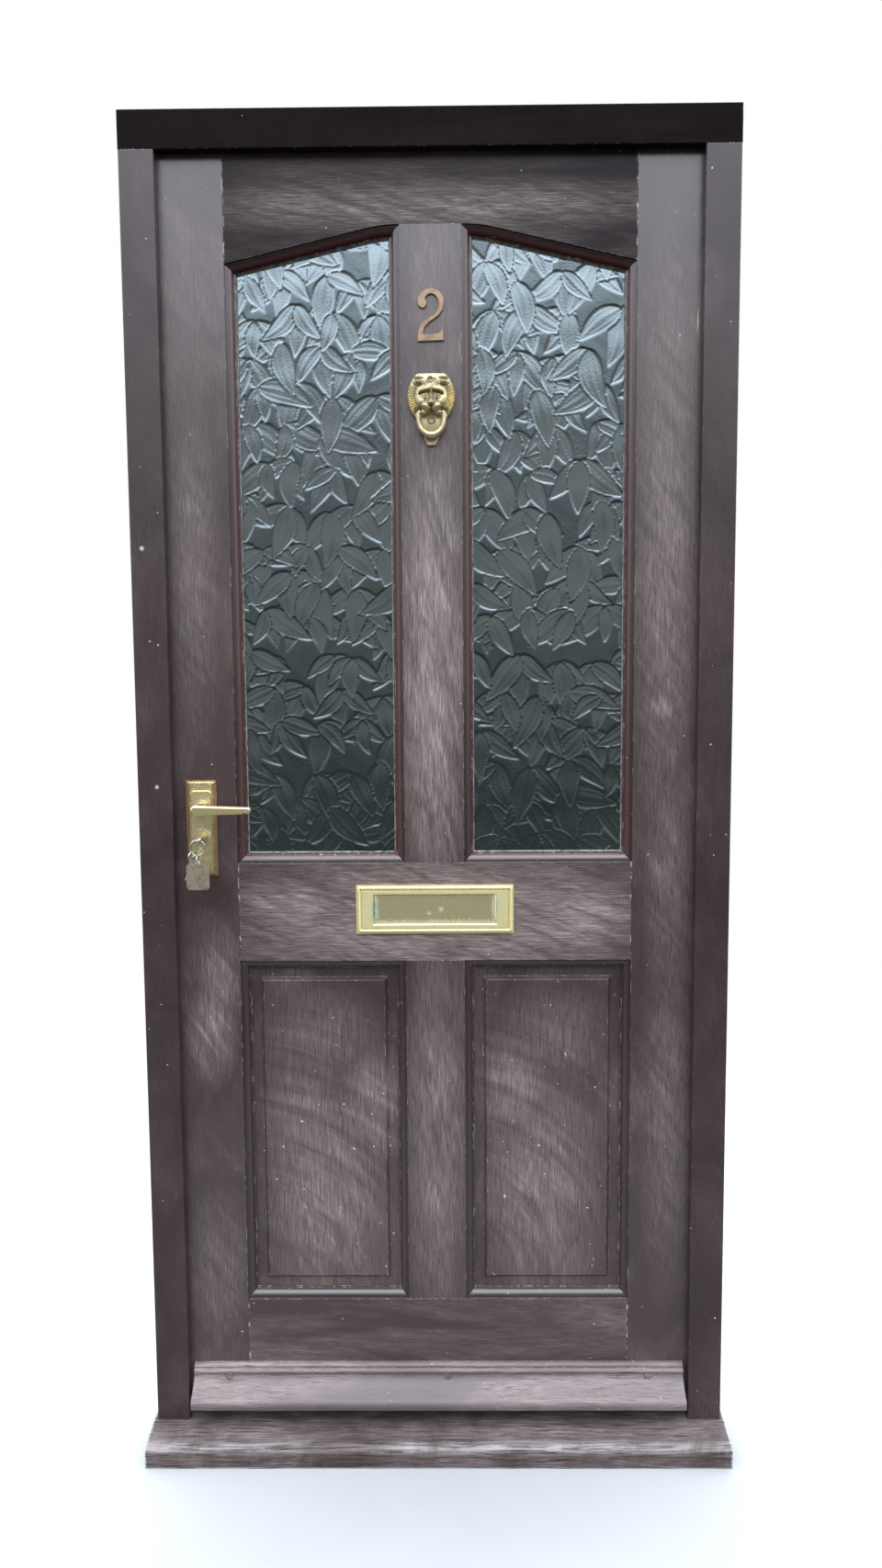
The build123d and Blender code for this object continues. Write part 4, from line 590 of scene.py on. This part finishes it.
def lion_relief(x, z):
    """Height of the casting in millimetres. x runs across, and z is 0 at the crown and negative below it."""
    # Mane with its locks, round the dome of the head
    aside = np.abs(x)
    lower = 1 / (1 + np.exp((z + 61) / 0.9))
    turn = np.arctan2(z + 40, x)
    reach = np.hypot(x / 36.5, (z + 37) / 38)
    mane = np.clip((reach - 0.60) / 0.06, 0, 1)
    lines = np.clip((reach - 0.64) / 0.08, 0, 1) * np.clip((-z - 17) / 4, 0, 1)
    roll = np.sin(np.pi * np.clip((reach - 0.60) / 0.42, 0, 1))
    height = 8.6 + 1.2 * np.cos(MANE_LOCKS * turn) * lines + 1.6 * roll
    head = 9.0 + 7.5 * np.clip(1 - (x / 25) ** 2 - ((z + 36) / 30) ** 2, 0, 1) ** 0.5
    height = np.where(reach < 0.66, np.maximum(head, height * mane), height)
    height += soft_bump(x, z, (0, -12), (15, 9), 2.6) + soft_bump(x, z, (0, -24), (13, 9), 2.4)
    for side in (-1, 1):
        # Ear, tuft and furrow of the forehead
        ear = side * 19.5
        height += soft_bump(x, z, (ear, -11.5), (9.5, 7.5), 4.2)
        height -= soft_bump(x, z, (ear, -9.6), (6.2, 2.0), 7.5)
        height += bump(x, z, (ear - side * 0.8, -14.6), (5.0, 3.0), 3.0)
        height -= soft_bump(x, z, (ear - side * 1.5, -19.6), (4.2, 1.5), 4.2)
        tuft = soft_bump(x, z, (side * 9, -12), (2.2, 6), 1.6)
        height += tuft - soft_bump(x, z, (side * 5.6, -16), (1.1, 8), 1.8)
        # Brow and eye
        brow = -26.2 - 0.020 * np.clip(aside - 6, 0, None) ** 2
        near = (x * side > 2.2) & (x * side < 18.5)
        height += 3.0 * np.exp(-(((z - brow) / 1.9) ** 2)) * near
        height -= 4.6 * np.exp(-(((z - brow + 3.6) / 1.25) ** 2)) * near
        height -= soft_bump(x, z, (side * 10.4, -33.6), (6.0, 3.2), 2.6)
        height += bump(x, z, (side * 10.4, -34.2), (4.0, 2.5), 3.2)
        height -= soft_bump(x, z, (side * 10.2, -34.2), (1.1, 1.1), 1.8)
        height += soft_bump(x, z, (side * 10.4, -38.0), (5.2, 1.1), 1.5)
        # Cheek, muzzle and nostril
        height += soft_bump(x, z, (side * 15.5, -45), (6.0, 7.5), 3.4)
        height -= soft_bump(x, z, (side * 8.5, -42.5), (1.6, 4.6), 1.8)
        height += bump(x, z, (side * 7.6, -53), (8.4, 7.4), 8.0)
        height -= soft_bump(x, z, (side * 3.6, -48.6), (1.4, 1.1), 3.0)
    # Nose and mouth
    height += 5.8 * np.exp(-((x / (2.8 + 0.06 * np.clip(-z - 26, 0, 22))) ** 2)) * ((z < -24) & (z > -48))
    height += bump(x, z, (0, -47.0), (5.2, 3.6), 5.2)
    height -= soft_bump(x, z, (0, -51.6), (3.4, 1.5), 4.6)
    height -= soft_bump(x, z, (0, -56), (0.9, 5), 5.0)
    # Plate under the chin, behind the ring
    below = 5.0 + 0.8 * np.clip(1 - (x / 20) ** 2 - ((z + 74) / 13) ** 2, 0, 1)
    height = np.where(aside < 21 + 40 * (z > -60), height * (1 - lower) + below * lower, height)
    height = np.where(z < -66, np.minimum(height, below), height)
    # Room for the ring to swing on both sides, and the lugs that hold it
    gap = z - PIVOT_LEVEL
    room = (aside > 13.9) & (aside < 25.4)
    swing = PIVOT_OUT - np.sqrt(np.clip(RING_SWING**2 - gap**2, 0, None))
    swept = room & (np.abs(gap) < RING_SWING)
    height = np.where(swept, np.minimum(height, np.maximum(swing, 4.4)), height)
    height = np.where(room & (gap < 0), np.minimum(height, 4.8), height)
    lug = (aside > 7.2) & (aside < 14.2) & (np.abs(gap) < LUG_HALF)
    round_lug = 13 + np.sqrt(np.clip(LUG_HALF**2 - gap**2, 0, None))
    height = np.where(lug, np.maximum(height, round_lug), height)
    # Seats of the two screws
    for at, floor in (((-1, -11), 9.0), ((0, -69.5), 5.0)):
        ring = np.hypot(x - at[0], z - at[1])
        height = np.where(ring < 4.1, floor, height)
        height += 1.6 * np.exp(-(((ring - 4.6) / 0.9) ** 2))
    return np.clip(height, 0.6, 24.5)


def knocker(material):
    """The lion's head over the CAD casting's own outline, closed at the door's face."""
    low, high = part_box("knocker_head")
    corners = np.array([v.co for v in NODES["knocker_head"].data.vertices])
    foot = corners[np.abs(corners[:, 1]) < LION_FOOT * MM]
    # Only the right half, without the screw holes in the middle
    right = foot[foot[:, 0] > SCREW_CLEAR * MM]
    edge = right[np.argsort(right[:, 2])]
    levels = np.linspace(low.z, high.z, int((high.z - low.z) / (LION_STEP * MM)))
    width = np.array([knocker_reach(edge, level) for level in levels])
    columns = int((high.x - low.x) / (LION_STEP * MM))
    share = np.linspace(-1, 1, columns)[None, :]
    x = share * width[:, None]
    z = np.broadcast_to(levels[:, None], x.shape)
    height = lion_relief(x / MM, (z - high.z) / MM)
    side = (1 - np.abs(share)) * width[:, None]
    end = np.minimum(z - low.z, high.z - z)
    fall = np.clip(np.minimum(side, end) / (LION_EDGE * MM), 0, 1)
    y = -height * np.sqrt(fall * (2 - fall)) * MM
    points = np.stack([x, y, z], axis=-1).reshape(-1, 3).tolist()
    faces = grid_faces(len(levels), columns)
    faces.append(grid_rim(len(levels), columns)[::-1])
    piece = smooth_mesh("knocker_carving", points, faces, material, "leaf")
    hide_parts("knocker_head")


def knocker_reach(edge, level):
    """Half width of the casting at a height, from the corners of its foot."""
    return float(np.interp(level, edge[:, 2], edge[:, 0]))


# Rope border of the letter plate


def rope(material):
    """A closed rope of three strands laid round the plate."""
    low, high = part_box("letter_plate")
    inset = ROPE_INSET * MM
    x0, x1, z0, z1 = low.x + inset, high.x - inset, low.z + inset, high.z - inset
    y = -ROPE_OUT * MM
    corners = [(x0, z0), (x1, z0), (x1, z1), (x0, z1)]
    points, faces, travelled = [], [], 0.0
    angles = np.linspace(0, 2 * math.pi, ROPE_ROUND, endpoint=False)
    rings = 0
    for k in range(4):
        start, end = Vector(corners[k]), Vector(corners[(k + 1) % 4])
        length = (end - start).length
        count = int(length / (ROPE_STEP * MM))
        along = (end - start).normalized()
        side = Vector((-along.y, along.x))
        for step in range(count):
            at = start + along * (length * step / count)
            phase = 2 * math.pi * (travelled + length * step / count) / (ROPE_PITCH * MM)
            lobes = 0.60 + 0.40 * np.abs(np.cos(1.5 * angles - 0.5 * phase))
            radius = ROPE_RADIUS * MM * lobes
            for angle, r in zip(angles, radius):
                out = side * (r * math.cos(angle))
                points.append((at.x + out.x, y - r * math.sin(angle), at.y + out.y))
            rings += 1
        travelled += length
    for ring in range(rings):
        after = (ring + 1) % rings
        for k in range(ROPE_ROUND):
            n = (k + 1) % ROPE_ROUND
            a, b = ring * ROPE_ROUND, after * ROPE_ROUND
            faces.append([a + k, a + n, b + n, b + k])
    smooth_mesh("letter_plate_rope", points, faces, material, "leaf")


# Put it together

JOINTS_RAIL = (0.312,)
PLATE_LOW, PLATE_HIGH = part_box("backplate_outside")
PLATE_AT = ((PLATE_LOW.x + PLATE_HIGH.x) / 2, (PLATE_LOW.z + PLATE_HIGH.z) / 2)
PLATE_HALF = (0.022, 0.076)
FLAP_LOW, FLAP_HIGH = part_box("letter_flap")
FLAP_AT = ((FLAP_LOW.x + FLAP_HIGH.x) / 2, (FLAP_LOW.z + FLAP_HIGH.z) / 2)
FLAP_HALF = ((FLAP_HIGH.x - FLAP_LOW.x) / 2, (FLAP_HIGH.z - FLAP_LOW.z) / 2)

# Chalky places and marks on the paint: (x, z, half width, half height, strength), in metres
MUNTIN_HAZE = (
    (0.0, 1.29, 0.065, 0.46, 1.0),
    (0.0, 1.86, 0.06, 0.16, 0.35),
    (0.0, 1.05, 0.06, 0.16, 0.6),
)
STILE_LEFT_HAZE = (
    (-0.362, 0.688, 0.050, 0.10, 1.0),
    (-0.345, 0.78, 0.045, 0.11, 0.75),
    (-0.37, 1.42, 0.05, 0.30, 0.55),
    (-0.36, 0.30, 0.07, 0.16, 0.45),
)
STILE_RIGHT_HAZE = (
    (0.36, 1.45, 0.06, 0.60, 0.62),
    (0.356, 1.208, 0.035, 0.035, 1.0),
    (0.37, 0.55, 0.05, 0.35, 0.45),
    (0.37, 0.95, 0.05, 0.25, 0.5),
)
PANEL_LEFT_HAZE = (
    (-0.19, 0.68, 0.12, 0.10, 0.55),
    (-0.175, 0.42, 0.13, 0.28, 0.85),
    (-0.10, 0.56, 0.09, 0.12, 1.0),
    (-0.217, 0.546, 0.09, 0.14, 0.7),
)
PANEL_RIGHT_HAZE = (
    (0.19, 0.68, 0.12, 0.10, 0.5),
    (0.175, 0.42, 0.12, 0.28, 0.85),
    (0.127, 0.599, 0.08, 0.12, 0.9),
    (0.187, 0.413, 0.08, 0.16, 0.8),
)
TOP_HAZE = (
    (0.0, 1.962, 0.46, 0.050, 0.9),
    (-0.20, 1.955, 0.16, 0.035, 0.6),
    (0.20, 1.955, 0.16, 0.035, 0.6),
)
LOCK_RAIL_HAZE = (
    (0.0, 0.87, 0.40, 0.16, 0.9),
    (0.22, 0.88, 0.14, 0.08, 1.0),
    (-0.22, 0.90, 0.12, 0.06, 0.9),
)
MUNTIN_LOW_HAZE = ((0.0, 0.52, 0.06, 0.40, 0.8),)
JAMB_MARKS = (
    (-0.444, 1.456, 0.0045, 0.0045, 0.9),
    (-0.432, 1.089, 0.0040, 0.0040, 0.8),
    (-0.436, 1.315, 0.0020, 0.0020, 0.7),
    (-0.4235, 1.309, 0.0020, 0.0020, 0.7),
)
STILE_RIGHT_MARKS = ((0.404, 1.79, 0.0014, 0.022, 0.7),)
SWIRL_LEFT = (-0.34, 0.22)
SWIRL_RIGHT = (-0.02, 0.26)
JAMB_BROWN = (0.031, 0.0192, 0.0198, 1)
# Tone of the top rail, darkened as painted shade under the frame head and the lintel over it
TOP_RAIL_PAINTED_SHADE = (0.018, 0.013, 0.0145, 1)
# Tone of the frame head, near black as painted shade under the lintel, which is not built
HEAD_PAINTED_SHADE = (0.007, 0.005, 0.006, 1)
# Tone of the weatherboard: grey weathered paint, made lighter as painted light from the sky it faces
BOARD_GREY_PAINTED_LIGHT = (0.126, 0.099, 0.097, 1)

# Stains on the brass: (places as above, colour)
FACE_GRIME = (
    ((0.0, 1.674, 0.022, 0.026, 0.8), (0.0, 1.64, 0.02, 0.02, 0.5)),
    (0.27, 0.205, 0.12, 1),
)
MANE_GOLD = (
    ((0.031, 1.674, 0.012, 0.026, 1.0), (-0.031, 1.668, 0.009, 0.026, 0.8)),
    (0.78, 0.60, 0.21, 1),
)
VERDIGRIS = (
    ((-0.096, 0.890, 0.006, 0.026, 1.0), (0.097, 0.890, 0.004, 0.024, 0.8)),
    (0.16, 0.44, 0.46, 1),
)
DAMP = (
    ((0.0, 0.8685, 0.10, 0.003, 0.6), (0.0, 0.853, 0.13, 0.006, 0.35)),
    (0.36, 0.52, 0.42, 1),
)
DRIPS = (
    ((0.0097, 0.890, 0.0055, 0.0055, 1.3), (-0.0093, 0.884, 0.005, 0.004, 1.2)),
    (0.86, 0.80, 0.55, 1),
)

# Pale borders of the brass: (box as x, z and half sizes, colour)
# The backplate's brown band is partly paint over its edge and partly a painted reflection of the door in its
# bevel
PLATE_BORDER_PAINT_AND_REFLECTION = ((*PLATE_AT, *PLATE_HALF), (0.46, 0.30, 0.16, 1))
FLAP_BORDER = ((*FLAP_AT, *FLAP_HALF), (0.74, 0.66, 0.36, 1))


def timber_finishes():
    rail = {"joints": JOINTS_RAIL, "stuck": True}
    stile_left = paint("paint_stile_left", UPRIGHT, stuck=True, spots=STILE_LEFT_HAZE, chalk=0.66)
    dress(stile_left, "stile_lock")
    marks = STILE_RIGHT_MARKS
    stile_right = paint("paint_stile_right", UPRIGHT, stuck=True, spots=STILE_RIGHT_HAZE, marks=marks)
    dress(stile_right, "stile_hinge")
    muntin = paint("paint_muntin_upper", UPRIGHT, stuck=True, spots=MUNTIN_HAZE, strokes=0.25, chalk=1.0)
    dress(muntin, "muntin_upper")
    muntin = paint("paint_muntin_lower", UPRIGHT, stuck=True, spots=MUNTIN_LOW_HAZE, strokes=0.2, chalk=0.7)
    dress(muntin, "muntin_lower")
    panel = paint("paint_panel_left", UPRIGHT, spots=PANEL_LEFT_HAZE, swirl=SWIRL_LEFT, chalk=0.66)
    dress(panel, "panel_left")
    panel = paint("paint_panel_right", UPRIGHT, spots=PANEL_RIGHT_HAZE, swirl=SWIRL_RIGHT, chalk=0.66)
    dress(panel, "panel_right")
    # The top rail's darker tone is painted shade from the head above it.
    top = paint("paint_top_rail", LEVEL, tone=TOP_RAIL_PAINTED_SHADE, spots=TOP_HAZE, strokes=1.3, sheen=0.1, **rail)
    dress(top, "top_rail")
    lock = paint("paint_lock_rail", LEVEL, spots=LOCK_RAIL_HAZE, strokes=1.2, chalk=1.0, **rail)
    dress(lock, "lock_rail")
    dress(paint("paint_bottom_rail", LEVEL, haze=0.5, strokes=1.4, **rail), "bottom_rail")
    satin = {"marks": JAMB_MARKS, "grain": 1.2, "gloss": 0.30, "sheen": 0.5}
    dress(paint("paint_jamb", UPRIGHT, tone=JAMB_BROWN, haze=0.10, **satin), "jamb_left", "jamb_right")
    # The head's near-black tone is painted shade under the lintel.
    dress(paint("paint_head", LEVEL, tone=HEAD_PAINTED_SHADE, haze=0.02, gloss=0.6, sheen=0.02), "frame_head")
    dusty = {"strokes": 1.5, "gloss": 0.40, "sheen": 0.35, "grain": 1.8}
    # The board's light tone is partly weathered paint and partly painted light from the sky above.
    board = paint("paint_weatherboard", LEVEL, tone=BOARD_GREY_PAINTED_LIGHT, haze=0.8, **dusty)
    dress(board, "weatherboard", "weatherboard_pellets")
    dress(worn_sill(), "sill")
    dress(paint("paint_beads", UPRIGHT, tone=BEAD_RED, haze=0.1), "glazing_beads_left", "glazing_beads_right")


def finishes():
    """Dresses every CAD node, and returns the two brasses that the pieces made here wear too."""
    timber_finishes()
    bright = brass("polished_brass", (0.80, 0.67, 0.34, 1), (0.50, 0.37, 0.17, 1), 0.20, 0.45, 0.85)
    tones = ((0.74, 0.64, 0.36, 1), (0.55, 0.44, 0.22, 1))
    # The backplate's brown border is partly paint and partly painted reflection.
    backplate = brass("backplate_brass", *tones, 0.22, 0.15, 0.8, (), PLATE_BORDER_PAINT_AND_REFLECTION)
    dress(backplate, "backplate_outside")
    dress(
        bright,
        "strike_plate",
        "strike_screws",
        "lock_forend",
        "forend_screws",
        "cylinder_body",
        "backplate_inside",
        "backplate_screws",
        "lever_outside",
        "lever_inside",
        "latch_bolt",
        "cylinder_plug",
    )
    tones = ((0.47, 0.40, 0.235, 1), (0.27, 0.22, 0.14, 1))
    aged = brass("aged_brass", *tones, 0.36, 0.8, 0.75, (FACE_GRIME, MANE_GOLD))
    dress(aged, "knocker_head", "knocker_screws", "knocker_ring", "flap_pin")
    numeral = brass("numeral_brass", (0.29, 0.205, 0.13, 1), (0.16, 0.105, 0.07, 1), 0.40, 0.8, 0.75)
    dress(numeral, "numeral_two", "numeral_screws")
    tones = ((0.74, 0.655, 0.34, 1), (0.58, 0.52, 0.27, 1))
    weathered = brass("weathered_brass", *tones, 0.40, 0.6, 0.65, (VERDIGRIS, DAMP))
    dress(weathered, "letter_plate")
    tones = ((0.43, 0.375, 0.205, 1), (0.34, 0.285, 0.155, 1))
    flap = brass("flap_brass", *tones, 0.34, 0.6, 0.65, (VERDIGRIS, DRIPS), FLAP_BORDER)
    dress(flap, "letter_flap")
    bare = steel("bare_steel", (0.60, 0.59, 0.57, 1), 0.28)
    dress(
        bare,
        "hinge_plates_frame",
        "hinge_pins",
        "hinge_screws_frame",
        "hinge_plates_leaf",
        "hinge_screws_leaf",
        "weatherboard_screws",
        "lever_spindle",
        "lock_follower",
        "dead_bolt",
        "door_key",
        "key_ring",
        "tag_link",
        "spare_key",
        "letter_plate_bolts",
        "flap_spring",
    )
    dress(steel("dull_zinc", (0.42, 0.43, 0.44, 1), 0.42), "water_bar", "lock_case")
    dress(steel("tag_steel", (0.50, 0.42, 0.31, 1), 0.4), "key_tag")
    dress(putty(), "glazing_sealant")
    return aged, weathered


def light(name, at, towards, size, power, color):
    """A rectangular lamp that faces a point."""
    data = bpy.data.lights.new(name, "AREA")
    data.shape = "RECTANGLE"
    data.size, data.size_y = size
    data.energy = power
    data.color = color
    lamp = bpy.data.objects.new(name, data)
    bpy.context.scene.collection.objects.link(lamp)
    lamp.location = at
    lamp.rotation_mode = "QUATERNION"
    lamp.rotation_quaternion = (Vector(towards) - Vector(at)).to_track_quat("-Z", "Y")


def studio():
    """Open sky in front and overhead, a pale floor and a white backdrop for the camera only."""
    light("sky_front", (0.0, -3.4, 4.4), (0.0, 0.0, 1.2), (4.5, 2.6), 30.0, (0.95, 0.98, 1.0))
    light("side_left", (-3.2, -2.2, 2.2), (0.0, 0.0, 1.0), (1.6, 2.6), 11.0, (0.97, 0.99, 1.0))
    light("side_right", (3.4, -1.8, 2.4), (0.0, 0.0, 1.0), (1.4, 2.4), 11.0, (1.0, 0.98, 0.96))
    light("back_fill", (0.5, 3.2, 3.2), (0.0, 0.0, 1.0), (3.0, 2.0), 40.0, (1.0, 1.0, 1.0))
    sky()
    ground()


def sky():
    """A bright overcast sky over a dim street. The camera sees plain white instead."""
    world = bpy.data.worlds.new("studio")
    world.use_nodes = True
    tree = world.node_tree
    tree.nodes.clear()
    up = axis(tree, put(tree, "ShaderNodeTexCoord").outputs["Generated"], 2)
    strength = ramp(tree, up, *SKY_STEPS[0])
    for step in SKY_STEPS[1:]:
        strength = plus(tree, strength, ramp(tree, up, *step))
    tint = mix_color(tree, ramp(tree, up, *ROOFLINE), STREET_TINT, SKY_TINT)
    dim = put(tree, "ShaderNodeBackground", {"Color": tint, "Strength": strength})
    white = put(tree, "ShaderNodeBackground", {"Color": (1.0, 1.0, 1.0, 1), "Strength": 1.0})
    seen = put(tree, "ShaderNodeLightPath").outputs["Is Camera Ray"]
    both = put(tree, "ShaderNodeMixShader", {0: seen, 1: dim.outputs[0], 2: white.outputs[0]})
    put(tree, "ShaderNodeOutputWorld", {0: both.outputs[0]})
    bpy.context.scene.world = world


def ground():
    """A pale floor that fades out before its far edge would show."""
    material, tree = new_material("pale_floor")
    at = place(tree)
    cloud = noise(tree, at, (3.0, 3.0, 3.0), 3.0, 0.5)
    shown = mix_color(tree, cloud, *FLOOR_SHOWN)
    seen = put(tree, "ShaderNodeLightPath").outputs["Is Camera Ray"]
    color = mix_color(tree, seen, FLOOR_BOUNCE, shown)
    fade = ramp(tree, length_of(tree, at), *FLOOR_FADE, 1.0, 0.0)
    values = {"Base Color": color, "Roughness": 0.75, "Alpha": fade}
    finish_surface(tree, values, cloud, 0.0005)
    mesh = bpy.data.meshes.new("floor")
    turns = np.linspace(0, 2 * math.pi, FLOOR_SIDES, endpoint=False)
    edge = [(FLOOR_FADE[1] * math.cos(t), FLOOR_FADE[1] * math.sin(t), 0.0) for t in turns]
    mesh.from_pydata(edge, [], [list(range(FLOOR_SIDES))])
    mesh.materials.append(material)
    floor = bpy.data.objects.new("floor", mesh)
    bpy.context.scene.collection.objects.link(floor)


def camera():
    """The photograph's own camera, turned by yaw, pitch and roll."""
    scene = bpy.context.scene
    data = bpy.data.cameras.new("camera")
    data.lens = LENS
    data.clip_start, data.clip_end = 0.05, 100.0
    eye = bpy.data.objects.new("camera", data)
    scene.collection.objects.link(eye)
    ahead = Vector((
        math.sin(CAMERA_YAW) * math.cos(CAMERA_PITCH),
        math.cos(CAMERA_YAW) * math.cos(CAMERA_PITCH),
        -math.sin(CAMERA_PITCH),
    ))
    right = Vector((math.cos(CAMERA_YAW), -math.sin(CAMERA_YAW), 0))
    up = right.cross(ahead)
    rolled_right = right * math.cos(CAMERA_ROLL) + up * math.sin(CAMERA_ROLL)
    rolled_up = up * math.cos(CAMERA_ROLL) - right * math.sin(CAMERA_ROLL)
    turned = Matrix((rolled_right, rolled_up, -ahead)).transposed().to_4x4()
    eye.matrix_world = Matrix.Translation(CAMERA_AT) @ turned
    scene.camera = eye


aged_brass, weathered_brass = finishes()
glass = relief_glass(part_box("glass_left")[0].y)
relief_pane("glass_left", glass)
relief_pane("glass_right", glass)
knocker(aged_brass)
rope(weathered_brass)
studio()
camera()
bpy.context.scene.view_settings.view_transform = "Standard"
